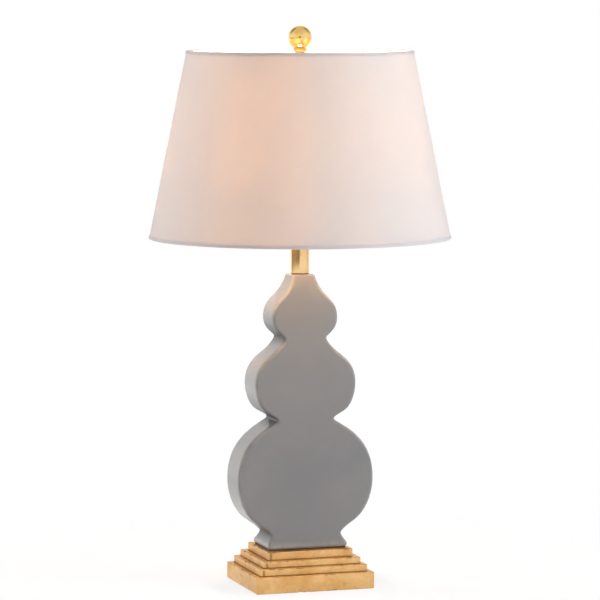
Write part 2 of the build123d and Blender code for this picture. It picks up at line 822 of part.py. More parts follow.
def sleeve_right():
    """The sleeve of the right leg."""
    return harp_sleeve(leg_x)


# ---------------------------------------------------------------- shade
def swivel_stud():
    """The stud that turns in the harp's plate and carries the shade and the finial."""
    head_top = harp_top - harp_plate_thickness - rest_gap
    return turned(
        [
            (0, head_top - stud_head_height),
            (stud_head_radius, head_top - stud_head_height),
            (stud_head_radius, head_top),
            (stud_radius, head_top),
            (stud_radius, flange_bottom),
            (stud_flange_radius, flange_bottom),
            (stud_flange_radius, hub_bottom),
            (stud_radius, hub_bottom),
            (stud_radius, stud_top - stud_chamfer),
            (stud_radius - stud_chamfer, stud_top),
            (0, stud_top),
        ]
    )


def spider_hub():
    """The drilled disc in the middle of the shade's frame."""
    return tube(hub_radius, stud_radius + hub_hole_gap, hub_bottom, hub_top)


def ring_at(height):
    """A round wire ring that lies against the inside of the shade at a height."""
    inside = cone_radius(height, trim_thickness + cloth_thickness + liner_sheet_thickness)
    radius = inside - (ring_wire_radius + rest_gap) * slant
    return Pos(0, 0, height) * Torus(radius, ring_wire_radius), radius


def top_ring_height():
    """The height of the top ring's wire."""
    return shade_top - trim_thickness - ring_wire_radius - rest_gap


def bottom_ring_height():
    """The height of the bottom ring's wire."""
    return shade_bottom + trim_thickness + ring_wire_radius + rest_gap


def top_ring():
    """The wire ring inside the shade's top edge."""
    return ring_at(top_ring_height())[0]


def bottom_ring():
    """The wire ring inside the shade's bottom edge."""
    return ring_at(bottom_ring_height())[0]


def spider_arms():
    """The three wires from the hub to the top ring."""
    ring, radius = ring_at(top_ring_height())
    level = (hub_bottom + hub_top) / 2
    points = [(hub_radius - arm_root, level), (radius, level), (radius, top_ring_height())]
    arm = bent_rod(points, [arm_bend], arm_wire_radius) - ring
    arm -= rod(hub_radius, hub_bottom - cut, hub_top + cut)
    arms = Part()
    for angle in arm_angles:
        arms += Rot(0, 0, angle) * arm
    return arms


def slanted_sheet(outer_inset, thickness):
    """A sheet that follows the shade's slant, inset from its outside."""
    low, high = shade_bottom + trim_thickness, shade_top - trim_thickness
    inner_inset = outer_inset + thickness
    return turned(
        [
            (cone_radius(low, inner_inset), low),
            (cone_radius(low, outer_inset), low),
            (cone_radius(high, outer_inset), high),
            (cone_radius(high, inner_inset), high),
        ]
    )


def shade_cloth():
    """The cloth of the shade."""
    return slanted_sheet(trim_thickness, cloth_thickness)


def shade_liner():
    """The stiff translucent sheet that the cloth is bonded to."""
    return slanted_sheet(trim_thickness + cloth_thickness, liner_sheet_thickness)


def rim_trim(edge, towards):
    """The tape rolled over a rim: a narrow band outside and a lip over the edge and the ring."""
    lip, band = edge + towards * trim_thickness, edge + towards * trim_height
    reach = trim_thickness + cloth_thickness + liner_sheet_thickness + 2 * ring_wire_radius
    return turned(
        [
            (cone_radius(edge), edge),
            (cone_radius(band), band),
            (cone_radius(band, trim_thickness), band),
            (cone_radius(lip, trim_thickness), lip),
            (cone_radius(lip, reach), lip),
            (cone_radius(edge, reach), edge),
        ]
    )


def top_trim():
    """The rolled tape of the top rim."""
    return rim_trim(shade_top, -1)


def bottom_trim():
    """The rolled tape of the bottom rim."""
    return rim_trim(shade_bottom, 1)


# ---------------------------------------------------------------- finial
def finial_washer():
    """The thin washer between the finial and the hub."""
    return tube(finial_washer_radius, stud_radius + hub_hole_gap, hub_top, finial_bottom)


def finial_collar():
    """The turned foot of the finial, tapped for the stud, with a spigot for the ball."""
    low, top = finial_bottom, collar_top
    cove_low, bead_low = low + finial_base_height, top - finial_bead_height
    edge = finial_bead_edge
    collar = turned(
        [
            (0, low),
            (finial_base_radius, low),
            (finial_base_radius, cove_low),
            (finial_waist_radius, cove_low + finial_cove_height),
            (finial_waist_radius, bead_low - finial_cove_height),
            (finial_bead_radius - edge, bead_low),
            (finial_bead_radius, bead_low + edge),
            (finial_bead_radius, top - edge),
            (finial_bead_radius - edge, top),
            (finial_spigot_radius, top),
            (finial_spigot_radius, top + finial_spigot_height),
            (0, top + finial_spigot_height),
        ]
    )
    return collar - rod(stud_radius + running_gap, low - cut, low + finial_bore_depth)


def finial_ball():
    """The polished ball on top of the lamp."""
    ball = Pos(0, 0, ball_centre) * Sphere(finial_ball_radius)
    ball -= rod(finial_ball_radius, collar_top - finial_ball_radius, collar_top)
    spigot_top = collar_top + finial_spigot_height + rest_gap
    return ball - rod(finial_spigot_radius + running_gap / 2, collar_top - cut, spigot_top)


# ---------------------------------------------------------------- one file for each piece
pieces = [
    plinth, bottom_cover, cover_screws, base_pads, cord_bush,
    seat_gasket, gourd_body,
    lamp_pipe, base_washer, base_nut, neck_pad, neck_ring, neck_tube, neck_cap,
    socket_cap, cap_set_screw, socket_shell, shell_liner, socket_block, terminal_screws,
    screw_shell, centre_contact, switch_stem, switch_knob,
    bulb_tip, bulb_insulator, bulb_cap, bulb_glass, bulb_stem, bulb_filament,
    harp_saddle, harp, sleeve_left, sleeve_right,
    swivel_stud, spider_hub, spider_arms, top_ring, bottom_ring,
    shade_liner, shade_cloth, top_trim, bottom_trim,
    finial_washer, finial_collar, finial_ball,
]

os.makedirs("parts", exist_ok=True)
for piece in pieces:
    export_step(piece(), f"parts/{piece.__name__}.step")
print(len(pieces), "pieces, lamp height", round(ball_centre + finial_ball_radius, 1))
print("shade from", round(shade_bottom, 1), "to", round(shade_top, 1))
print("harp plate top", round(harp_top, 1), "bulb top", round(bulb_levels()[3], 1))
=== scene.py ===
# %% [markdown]
# A table lamp: a flat, three-lobed gourd of grey glazed ceramic on a stepped, gilded plinth, with
# a tapered cloth shade, a brass neck and a ball finial. The shapes of the frame come from the
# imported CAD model. This script gives each piece its finish, and remakes the pieces whose looks
# need more than the CAD holds: soft edges, cloth, seams, threads and wear.

# %% The frame
import json
from math import atan2, ceil, cos, hypot, pi, radians, sin

import bmesh
import bpy
import numpy as np
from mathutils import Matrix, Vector


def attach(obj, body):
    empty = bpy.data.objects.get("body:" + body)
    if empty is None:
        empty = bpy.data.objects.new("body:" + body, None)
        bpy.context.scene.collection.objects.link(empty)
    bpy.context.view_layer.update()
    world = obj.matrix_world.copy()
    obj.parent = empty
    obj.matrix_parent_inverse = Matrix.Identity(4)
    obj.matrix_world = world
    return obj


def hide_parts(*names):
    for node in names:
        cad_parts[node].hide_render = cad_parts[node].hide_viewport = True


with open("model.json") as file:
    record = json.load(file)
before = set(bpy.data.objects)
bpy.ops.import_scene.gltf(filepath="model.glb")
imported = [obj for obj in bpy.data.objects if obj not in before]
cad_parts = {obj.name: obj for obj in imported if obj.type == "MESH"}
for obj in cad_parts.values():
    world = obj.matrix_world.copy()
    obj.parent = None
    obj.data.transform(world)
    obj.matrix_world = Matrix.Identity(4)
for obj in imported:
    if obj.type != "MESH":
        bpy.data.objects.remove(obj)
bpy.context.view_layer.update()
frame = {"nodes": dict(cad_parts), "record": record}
mm = 0.001  # shapes are given in millimetres below, and made in metres

# %% [markdown]
# The camera stands far off and a little above the lamp, so the lamp is seen almost without
# perspective, turned by some eighteen degrees. Its place was found once, by fitting the rims of
# the shade and the corners of the plinth, and is used here as numbers.

# %% The camera
camera_turn, camera_pitch = -17.7, 5.35  # degrees
camera_distance, camera_height = 4.4307, 0.8013
focal_pixels, frame_pixels, sensor = 3303.8, 600, 36.0

lens = bpy.data.cameras.new("camera")
lens.sensor_width = sensor
lens.lens = focal_pixels / frame_pixels * sensor
lens.clip_end = 200
camera = bpy.data.objects.new("camera", lens)
bpy.context.scene.collection.objects.link(camera)
camera.location = (
    camera_distance * sin(radians(camera_turn)),
    -camera_distance * cos(radians(camera_turn)),
    camera_height,
)
camera.rotation_euler = (radians(90 - camera_pitch), 0, radians(camera_turn))
bpy.context.scene.camera = camera
bpy.context.scene.view_settings.view_transform = "Standard"
print("the lens is", round(lens.lens, 1), "mm")

# %% [markdown]
# Shader nodes are clearer to read as sums. A small class wraps a socket that carries a number, and
# adds a Math node for each operator. Everything else goes through one method that takes a node's
# type, its settings, and the values or links of its sockets.

# %% Sums on sockets
def maths(operation, swapped=False):
    """A method that adds one Math node, for an operator or for its reflected form."""
    def method(self, other):
        return self.nodes.sum(operation, *((other, self) if swapped else (self, other)))
    return method


class Amount:
    """A socket that carries a number, a colour or a vector. Sums on numbers add Math nodes."""

    def __init__(self, nodes, socket):
        self.nodes, self.socket = nodes, socket

    __add__, __radd__ = maths("ADD"), maths("ADD", True)
    __sub__, __rsub__ = maths("SUBTRACT"), maths("SUBTRACT", True)
    __mul__, __rmul__ = maths("MULTIPLY"), maths("MULTIPLY", True)
    __truediv__, __rtruediv__ = maths("DIVIDE"), maths("DIVIDE", True)

    def sine(self):
        return self.nodes.sum("SINE", self)


class Nodes:
    """A node tree, and the ways in which nodes are added to it."""

    def __init__(self, tree):
        self.tree = tree

    def add(self, kind, settings=None, values=None, out=0):
        """Adds a node and returns one of its outputs, by place or by name."""
        node = self.tree.nodes.new(kind)
        for key, value in (settings or {}).items():
            setattr(node, key, value)
        for key, value in (values or {}).items():
            self.feed(self.find(node.inputs, key), value)
        return Amount(self, self.find(node.outputs, out))

    def find(self, sockets, key):
        """A socket by its place, its identifier or its name."""
        shown = [s for s in sockets if s.enabled]
        if isinstance(key, int):
            return shown[key]
        return next(s for test in ("identifier", "name") for s in shown if getattr(s, test) == key)

    def feed(self, socket, value):
        """Links an output to a socket, or sets the socket to a plain value."""
        if isinstance(value, Amount):
            self.tree.links.new(value.socket, socket)
        elif isinstance(value, (tuple, list)) and len(value) == 3 and socket.type == "RGBA":
            socket.default_value = (*value, 1.0)
        else:
            socket.default_value = value

    def sum(self, operation, *numbers):
        """A Math node on one or two numbers."""
        values = dict(zip(("Value", "Value_001"), numbers))
        return self.add("ShaderNodeMath", {"operation": operation}, values)

    def parts(self, vector):
        """The X, Y and Z of a vector."""
        return [self.add("ShaderNodeSeparateXYZ", None, {"Vector": vector}, way) for way in "XYZ"]

    def stretched(self, where, stretch):
        return self.add("ShaderNodeMapping", None, {"Vector": where, "Scale": stretch})

    def place(self, stretch=(1, 1, 1)):
        """The place on the piece, in metres, stretched."""
        return self.stretched(self.add("ShaderNodeTexCoord", out="Object"), stretch)

    def noise(self, where, scale, detail=3.0, roughness=0.5, distortion=0.0):
        values = {"Vector": where, "Scale": scale, "Detail": detail, "Roughness": roughness}
        return self.add("ShaderNodeTexNoise", None, {**values, "Distortion": distortion}, "Fac")

    def span(self, value, low, high, bottom=0.0, top=1.0):
        """A number brought from one span to another, eased and kept within it."""
        values = {"Value": value, "From Min": low, "From Max": high}
        values.update({"To Min": bottom, "To Max": top})
        return self.add("ShaderNodeMapRange", {"interpolation_type": "SMOOTHSTEP"}, values)

    def blend(self, share, first, second):
        """A colour between two."""
        values = {"Factor_Float": share, "A_Color": first, "B_Color": second}
        return self.add("ShaderNodeMix", {"data_type": "RGBA"}, values, "Result_Color")

    def ray(self, kind):
        """1 for one kind of ray, and 0 for the rest."""
        return self.add("ShaderNodeLightPath", out=f"Is {kind} Ray")

    def mark(self, name):
        """A number that the mesh carries at each of its points."""
        return self.add("ShaderNodeAttribute", {"attribute_name": name}, None, "Fac")

    def bump(self, height, depth, strength=1.0, under=None):
        values = {"Height": height, "Distance": depth, "Strength": strength}
        if under:
            values["Normal"] = under
        return self.add("ShaderNodeBump", None, values, "Normal")


class Finish(Nodes):
    """A material while it is made."""

    def __init__(self, name):
        self.material = bpy.data.materials.new(name)
        self.material.use_nodes = True
        super().__init__(self.material.node_tree)
        self.tree.nodes.clear()
        self.output = self.tree.nodes.new("ShaderNodeOutputMaterial")

    def coat(self, **values):
        """A Principled shader. Words in the names are joined by an underscore."""
        named = {key.replace("_", " "): value for key, value in values.items()}
        return self.add("ShaderNodeBsdfPrincipled", None, named, "BSDF")

    def done(self, shader):
        self.tree.links.new(shader.socket, self.output.inputs["Surface"])
        return self.material


# %% [markdown]
# The light is a plain studio: an even pale room, a large soft lamp to the front right and a
# smaller one to the back left. Glossy pieces also need something to mirror. A real studio is
# bright on the sides and dark where the camera stands, and that is what draws the dark line down
# the middle of a polished tube. So the room that mirror rays see has a darker front and a brighter
# back left, while the camera itself sees plain white.

# %% The room's light
room = bpy.data.worlds.new("room")
bpy.context.scene.world = room
room.use_nodes = True
room_nodes = Nodes(room.node_tree)
room_nodes.tree.nodes.clear()
direction = room_nodes.add("ShaderNodeTexCoord", out="Generated")


def towards(azimuth, elevation=0.0):
    """A direction as a vector. Azimuth 0 is the lamp's front, and 90 its right."""
    a, e = radians(azimuth), radians(elevation)
    return (sin(a) * cos(e), -cos(a) * cos(e), sin(e))


def patch(azimuth, elevation, inner, outer):
    """1 within an angle of a direction, falling to 0 at a wider one."""
    values = {"Vector": direction, "Vector_001": towards(azimuth, elevation)}
    near = room_nodes.add("ShaderNodeVectorMath", {"operation": "DOT_PRODUCT"}, values, "Value")
    return room_nodes.span(near, cos(radians(outer)), cos(radians(inner)))


def patches(rows):
    """Several patches at once. Each row is a strength, and then a patch's own four numbers."""
    return sum(strength * patch(*where) for strength, *where in rows)


level_dip, belt_inner, belt_outer = 0.09, 0.035, 0.10
from_level = room_nodes.sum("ABSOLUTE", room_nodes.parts(direction)[2] + level_dip)
belt = 1.0 - room_nodes.span(from_level, belt_inner, belt_outer)
dark_side = belt * patches([
    (0.60, -90, -5, 42, 62), (0.12, -52, -5, 8, 24), (0.62, -31, -5, 4, 13), (0.35, 83, -5, 3, 9),
])
high_dark = patches([
    (0.50, -150, 36, 8, 30), (0.46, 118, 36, 8, 30), (0.20, 0, 90, 25, 75),
    (0.85, camera_turn, 6, 4, 13),
])
dimmed = dark_side + high_dark
mirrored = 1.0 - dimmed + 0.2 * patch(-163, 0, 10, 26)
camera_ray, glossy_ray, clear_ray = map(room_nodes.ray, ("Camera", "Glossy", "Transmission"))
ambient, warmth = 0.44, 1.5
level = ambient + glossy_ray * (mirrored - ambient) + (camera_ray + clear_ray) * (1.0 - ambient)
room_colour = room_nodes.blend(dimmed * glossy_ray * warmth, (1, 1, 1), (1.0, 0.80, 0.56))
background = {"Color": room_colour, "Strength": level}
room_light = room_nodes.add("ShaderNodeBackground", None, background)
room_end = room_nodes.tree.nodes.new("ShaderNodeOutputWorld")
room_nodes.tree.links.new(room_light.socket, room_end.inputs["Surface"])

# %% The two soft lamps
lamp_middle = 0.42


def soft_lamp(name, azimuth, distance, height, size, power, colour):
    """A square studio lamp that looks at the middle of the table lamp."""
    light = bpy.data.lights.new(name, "AREA")
    light.shape, light.size, light.energy, light.color = "SQUARE", size, power, colour
    holder = bpy.data.objects.new(name, light)
    bpy.context.scene.collection.objects.link(holder)
    x, y, _ = towards(azimuth)
    holder.location = (x * distance, y * distance, height)
    aim = Vector((0, 0, lamp_middle)) - holder.location
    holder.rotation_euler = aim.to_track_quat("-Z", "Y").to_euler()
    holder.visible_glossy = False  # the room above has its own bright sides for mirror rays


soft_lamp("lamp_right", 54, 2.6, 1.25, 1.6, 54, (0.69, 0.875, 1.0))
soft_lamp("lamp_back_left", -122, 2.4, 1.1, 1.2, 31, (0.78, 0.905, 1.0))

# %% [markdown]
# The floor is plain and white. Near the lamp it is a real surface that takes a soft shadow.
# Further out, the camera sees it melt into pure white, as a paper sweep does.

# %% The floor
floor_half = 1.1
floor_corners = [(-floor_half, -floor_half, 0), (floor_half, -floor_half, 0),
                 (floor_half, floor_half, 0), (-floor_half, floor_half, 0)]
floor_mesh = bpy.data.meshes.new("floor")
floor_mesh.from_pydata(floor_corners, [], [(0, 1, 2, 3)])
floor = bpy.data.objects.new("floor", floor_mesh)
bpy.context.scene.collection.objects.link(floor)
paper = Finish("white_paper")
paper_place = {"Vector": paper.place(stretch=(1, 1, 0))}
reach = paper.add("ShaderNodeVectorMath", {"operation": "LENGTH"}, paper_place, "Value")
seen = paper.ray("Camera") + paper.ray("Glossy") + paper.ray("Transmission")
whitening = seen * paper.span(reach, 0.08, 0.75, 0.78, 1.0)
matt = paper.add("ShaderNodeBsdfDiffuse", None, {"Color": (0.93, 0.93, 0.93)})
glow = paper.add("ShaderNodeEmission", None, {"Color": (1, 1, 1), "Strength": 1.0})
paper_mix = paper.add("ShaderNodeMixShader", None, {"Fac": whitening, 1: matt, 2: glow})
floor_mesh.materials.append(paper.done(paper_mix))


# %% [markdown]
# Most pieces are either turned on the lamp's axis or stepped and lobed blocks that can be built as
# a stack of rings. Both come down to the same thing: rings with equal numbers of points, joined by
# rows of four-sided faces. A ring that shrinks to a point closes a pole.

# %% Meshes from rings
def piece_from(name, mesh, sharp=40.0):
    """An object at the origin for a finished mesh, smooth but for its sharp edges."""
    mesh.shade_smooth()
    mesh.set_sharp_from_angle(angle=radians(sharp))
    made = bpy.data.objects.new(name, mesh)
    bpy.context.scene.collection.objects.link(made)
    print(name, len(mesh.vertices), "points", len(mesh.polygons), "faces")
    return made


def skin(name, rings, looped=False, marks=None, sharp=40.0):
    """A piece made of rings of points, each ring joined to the next."""
    count = len(rings[0])
    faces = []
    for row in range(len(rings) if looped else len(rings) - 1):
        low, high = row * count, (row + 1) % len(rings) * count
        for k in range(count):
            step = (k + 1) % count
            faces.append((low + k, low + step, high + step, high + k))
    mesh = bpy.data.meshes.new(name)
    mesh.from_pydata([point for ring in rings for point in ring], [], faces)
    for mark, values in (marks or {}).items():
        mesh.attributes.new(mark, "FLOAT", "POINT").data.foreach_set("value", values)
    work = bmesh.new()
    work.from_mesh(mesh)
    bmesh.ops.remove_doubles(work, verts=work.verts, dist=1e-7)
    bmesh.ops.delete(work, geom=[e for e in work.edges if e.is_wire], context="EDGES")
    bmesh.ops.recalc_face_normals(work, faces=work.faces)
    work.to_mesh(mesh)
    work.free()
    return piece_from(name, mesh, sharp)


def eased(corners, steps):
    """A closed profile, its corners rounded. Each corner is a radius, a height and a rounding."""
    line = []
    for k, (x, z, size) in enumerate(corners):
        if size == 0:
            line.append((x, z))
            continue
        here = Vector((x, z))
        before = Vector(corners[k - 1][:2]) - here
        after = Vector(corners[(k + 1) % len(corners)][:2]) - here
        start = here + before.normalized() * min(size, before.length * 0.48)
        end = here + after.normalized() * min(size, after.length * 0.48)
        for step in range(steps + 1):
            t = step / steps
            line.append(tuple(start * (1 - t) ** 2 + here * 2 * t * (1 - t) + end * t**2))
    return line


def round_ring(radius, height, count=96):
    """A level circle of points round the lamp's axis."""
    turns = [2 * pi * k / count for k in range(count)]
    return [(radius * cos(a), radius * sin(a), height) for a in turns]


def turned(name, corners, count=96):
    """A piece turned on the lamp's axis, from a closed profile in millimetres."""
    line = eased([(r * mm, z * mm, e * mm) for r, z, e in corners], 4)
    return skin(name, [round_ring(r, z, count) for r, z in line], True)


def hole_ring(like, radius, height):
    """A round hole on the axis, with its points in the same directions as another ring's."""
    turns = [atan2(y, x) for x, y, _ in like]
    return [(radius * mm * cos(a), radius * mm * sin(a), height * mm) for a in turns]


def plain_mesh(piece):
    """The mesh that a piece's modifiers make."""
    now = bpy.context.evaluated_depsgraph_get()
    return bpy.data.meshes.new_from_object(piece.evaluated_get(now))


finishes = {}  # by the record's names for them


def finished(piece, body, slot, node, finish=None):
    """Gives a piece its finish, from its slot unless one is given, and its body, and hides its CAD
    node.
    """
    piece.data.materials.clear()
    piece.data.materials.append(finish or finishes[slot])
    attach(piece, body)
    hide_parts(node)
    return piece


# %% [markdown]
# The gourd's glaze is a thick, glossy, cool grey glass over clay, cloudy in tone and with faint
# specks, and its surface waves very slightly, which bends what it mirrors. Light and shade are
# also painted into its colour: a paler, warmer tone towards the top for the bulb's light, lighter
# rounded edges, where a glaze thins and where a highlight is painted, a painted highlight on the
# foot's lip, and painted shade in the creases, where the coat also mirrors less. Two numbers
# stored on the mesh say where the edges and the creases are.

# %% Grey glaze
def grey_glaze():
    f = Finish("grey_glaze")
    here = f.place()
    cloud = f.noise(here, 9.0, 4.0, 0.55, 0.3)
    colour = f.blend(f.span(cloud, 0.3, 0.7), (0.189, 0.178, 0.179), (0.216, 0.202, 0.196))
    # Painted light from the bulb: the glaze is paler and warmer towards the top.
    painted_bulb_light = f.span(f.parts(here)[2], 0.16, 0.43)
    colour = f.blend(painted_bulb_light * 0.5, colour, (0.272, 0.248, 0.239))
    # Lighter on the rounded edges, where the glaze thins and a highlight is painted, and a painted
    # highlight on the foot's lip.
    thin_glaze_and_highlight = f.mark("edge") * f.span(f.noise(here, 60.0, 2.0), 0.25, 0.7, 0.3, 1.0)
    colour = f.blend(thin_glaze_and_highlight * 0.40, colour, (0.44, 0.41, 0.375))
    # Painted shade: darker in each crease and up the flank above it.
    colour = f.blend(f.mark("crease") * 0.72, colour, (0.062, 0.062, 0.066))
    speck = f.span(f.noise(here, 900.0, 1.0), 0.74, 0.80)
    colour = f.blend(speck * 0.35, colour, (0.09, 0.085, 0.08))
    waves = f.bump(f.noise(here, 26.0, 1.5), 0.0011, 0.14)
    pits = f.bump(f.noise(here, 240.0, 2.0), 0.00012, 0.12, waves)
    glass = 0.92 - f.mark("crease") * 0.85
    return f.done(f.coat(
        Base_Color=colour, Roughness=f.span(cloud, 0.2, 0.8, 0.42, 0.52), Normal=pits, IOR=1.3,
        Coat_Weight=glass, Coat_Roughness=0.045, Coat_IOR=1.6,
    ))


finishes["grey_glaze"] = grey_glaze()

# %% [markdown]
# The gourd is a slab whose front outline swells into three lobes above a flared foot, while its
# front face stays flat across and only tapers towards the neck. The outline is a few smooth lines
# through measured points, with a small round in each crease. The mesh follows that rule: each row
# of points runs along the flat front, over a rounded edge, round the side, and back. The rounded
# edge is laid square to the outline, so that it keeps its width in the creases.

# %% The gourd's outline
gourd_base, gourd_height, gourd_wall, gourd_floor = 53.9, 368.1, 6.0, 7.0
pipe_hole = 7.0
foot_waist, lower_belly, lower_waist = (49.3, 17.6), (95.3, 92.1), (40.0, 173.6)
middle_belly, upper_waist, upper_belly = (70.5, 223.1), (29.8, 282.5), (45.6, 312.1)
foot_notch, lower_notch = (3.0, 195.0, 138.0), (3.0, 238.0, 126.0)  # radius, start and end turn
upper_notch = (4.0, 210.0, 132.0)
foot_half, foot_deep, body_deep, top_half, top_deep = 55.8, 36.4, 28.8, 15.9, 17.6


def smooth_line(points, start, end, spacing=1.6):
    """Points along a smooth line through the given ones, with its direction set at both ends."""
    p = np.array(points, float)
    gap = np.linalg.norm(np.diff(p, axis=0), axis=1)
    chord = np.diff(p, axis=0) / gap[:, None]
    last = len(p) - 1
    rows, right = np.eye(len(p)), np.zeros((len(p), 2))
    right[0], right[last] = (np.array(d) / hypot(*d) for d in (start, end))
    for i in range(1, last):
        rows[i, i - 1 : i + 2] = gap[i], 2 * (gap[i - 1] + gap[i]), gap[i - 1]
        right[i] = 3 * (gap[i] * chord[i - 1] + gap[i - 1] * chord[i])
    slope = np.linalg.solve(rows, right)
    line = []
    for i in range(last):
        steps = ceil(gap[i] / spacing)
        for t in np.arange(steps) / steps:
            line.append(
                (1 + 2 * t) * (1 - t) ** 2 * p[i] + t * (1 - t) ** 2 * gap[i] * slope[i]
                + t * t * (3 - 2 * t) * p[i + 1] + t * t * (t - 1) * gap[i] * slope[i + 1]
            )
    return [tuple(q) for q in line] + [tuple(p[-1])]


def flank(waist, belly, shares):
    """Points between a waist and a belly, as shares of the reach and of the rise."""
    return [
        (waist[0] + reach * (belly[0] - waist[0]), waist[1] + rise * (belly[1] - waist[1]))
        for reach, rise in shares
    ]


def crease(waist, size, steps=9):
    """The small round at a waist, and the outline's direction at both its ends."""
    radius, start, end = size
    turns = [radians(start + (end - start) * k / steps) for k in range(steps + 1)]
    line = [(waist[0] + radius + radius * cos(a), waist[1] + radius * sin(a)) for a in turns]
    return line, (sin(turns[0]), -cos(turns[0])), (sin(turns[-1]), -cos(turns[-1]))


foot_line, foot_in, foot_out = crease(foot_waist, foot_notch)
lower_line, lower_in, lower_out = crease(lower_waist, lower_notch)
upper_line, upper_in, upper_out = crease(upper_waist, upper_notch)
lip = [(foot_half - 1.2, 0.0), (foot_half, 3.6), (foot_half - 3.2, 10.1), foot_line[0]]
tuck_low = flank(foot_waist, lower_belly, ((0.537, 0.275), (0.885, 0.600)))
shoulder_low = flank(lower_waist, lower_belly, ((0.841, 0.527), (0.485, 0.236)))
tuck_mid = flank(lower_waist, middle_belly, ((0.574, 0.253), (0.895, 0.576)))
shoulder_mid = flank(upper_waist, middle_belly, ((0.889, 0.680), (0.558, 0.411), (0.312, 0.276)))
tuck_high = flank(upper_waist, upper_belly, ((0.405, 0.257), (0.804, 0.527)))
gourd_top_corner = (top_half, gourd_height)
neck_flare = flank(gourd_top_corner, upper_belly, ((0.805, 0.679), (0.428, 0.464), (0.155, 0.250)))
lobes = [
    (smooth_line(lip, (0.4, 1.0), foot_in), 0),
    (foot_line, 1),
    (smooth_line([foot_line[-1], *tuck_low, lower_belly, *shoulder_low, lower_line[0]],
                 foot_out, lower_in), 0),
    (lower_line, 1),
    (smooth_line([lower_line[-1], *tuck_mid, middle_belly, *shoulder_mid, upper_line[0]],
                 lower_out, upper_in), 0),
    (upper_line, 1),
    (smooth_line([upper_line[-1], *tuck_high, upper_belly, *neck_flare, gourd_top_corner],
                 upper_out, (-0.12, 1.0)), 0),
]
outline = [point for line, _ in lobes for point in line[:-1]] + [gourd_top_corner]
waists = [z for _, z in (foot_waist, lower_waist, upper_waist)]
widest = max(x for x, _ in outline)
print("the outline has", len(outline), "points, widest", round(widest, 1), "mm")

# %% How deep the gourd is at each height
flare_end, taper_start = foot_waist[1] + 14.5, lower_waist[1] + 34.5
flare = smooth_line(
    [(foot_deep - 0.6, 0), (foot_deep, 3.1),
     *flank((body_deep, 0), (foot_deep, flare_end), ((0.55, 0.315), (0.10, 0.595))),
     (body_deep, flare_end)],
    (0.4, 1.0), (0, 1),
)
taper = smooth_line(
    [(body_deep, taper_start),
     *flank((top_deep, taper_start), (body_deep, gourd_height),
            ((0.84, 0.425), (0.68, 0.675), (0.44, 0.862))),
     (top_deep, gourd_height)],
    (0, 1), (-0.28, 1.0),
)
side_depths, side_heights = zip(*flare, *taper)


def depth_at(z):
    """Half the gourd's depth at a height above its foot."""
    return float(np.interp(z, side_heights, side_depths))


# %% The gourd's rings
front_steps, edge_steps, side_steps, sole_steps, top_steps = 14, 7, 6, 5, 6
gourd_edge, sole_edge, top_edge = 4.2, 1.2, 2.4


def gourd_ring(x, z, tilt, deep, edge):
    """One ring of the gourd: along the front, over the edge, round the side, and mirrored back."""
    across, rise = cos(tilt), sin(tilt)
    quarter = []
    for k in range(front_steps):
        inset = (x - edge * across) * k / front_steps
        height = z - edge * rise
        quarter.append((inset, -(deep - depth_at(z) + depth_at(height)), height))
    for k in range(edge_steps + 1):
        turn = pi / 2 * k / edge_steps
        inward, height = edge * (1 - sin(turn)), z - edge * rise * (1 - sin(turn))
        depth = deep - depth_at(z) + depth_at(height) - edge * (1 - cos(turn))
        quarter.append((x - inward * across, -depth, height))
    stop = deep - edge
    quarter += [(x, -stop * (1 - k / side_steps), z) for k in range(1, side_steps + 1)]
    right = quarter + [(a, -b, c) for a, b, c in quarter[-2::-1]]
    ring = right + [(-a, b, c) for a, b, c in right[-2:0:-1]]
    return [(a * mm, b * mm, (c + gourd_base) * mm) for a, b, c in ring]


rings, at_edge, at_crease = [], [], []
quarter_edge = [0] * front_steps + [sin(pi * k / edge_steps) for k in range(edge_steps + 1)]
quarter_edge += [0] * side_steps
quarter_side = [0] * front_steps + [k / edge_steps for k in range(edge_steps + 1)]
quarter_side += [1] * side_steps


def mirrored_marks(quarter):
    half = quarter + quarter[-2::-1]
    return half + half[-2:0:-1]


ring_edge, ring_side = mirrored_marks(quarter_edge), mirrored_marks(quarter_side)


def add_ring(ring, edge=0.0, painted_crease_shade=0.0, painted_lip_highlight=0.0):
    rings.append(ring)
    at_edge.extend([min(1.0, edge * e + painted_lip_highlight) for e in ring_edge])
    at_crease.extend([painted_crease_shade * s for s in ring_side])


# Shade is painted darker in each crease, further up from a waist than down, and a highlight is
# painted on the foot's lip.
crease_shade_rise, crease_shade_squeeze, crease_shade_reach = 8, 2.2, 24.0
lip_height, lip_reach = 5, 9
start_x, start_deep = outline[0][0], depth_at(0)
for k in range(sole_steps):
    turn = pi / 2 * (1 - k / sole_steps)
    less, rise = sole_edge * (1 - cos(turn)), sole_edge * (1 - sin(turn))
    add_ring(gourd_ring(start_x - less, rise, 0, start_deep - less, gourd_edge))
for k, (x, z) in enumerate(outline):
    if z < sole_edge or z > gourd_height - top_edge:
        continue
    (x0, z0), (x1, z1) = outline[max(k - 1, 0)], outline[min(k + 1, len(outline) - 1)]
    fade = min(1.0, (z - sole_edge) / 6, (gourd_height - top_edge - z) / 10)
    tilt = -atan2(x1 - x0, z1 - z0) * max(fade, 0.0)
    off = [max(z - w - crease_shade_rise, (w - z) * crease_shade_squeeze, 0.0) for w in waists]
    painted_crease_shade = min(1.0, sum(max(0.0, 1 - gap / crease_shade_reach) for gap in off))
    painted_lip_highlight = max(0.0, 1 - abs(z - lip_height) / lip_reach)
    add_ring(gourd_ring(x, z, tilt, depth_at(z), gourd_edge), 1.0, painted_crease_shade, painted_lip_highlight)
top_z = gourd_height - top_edge
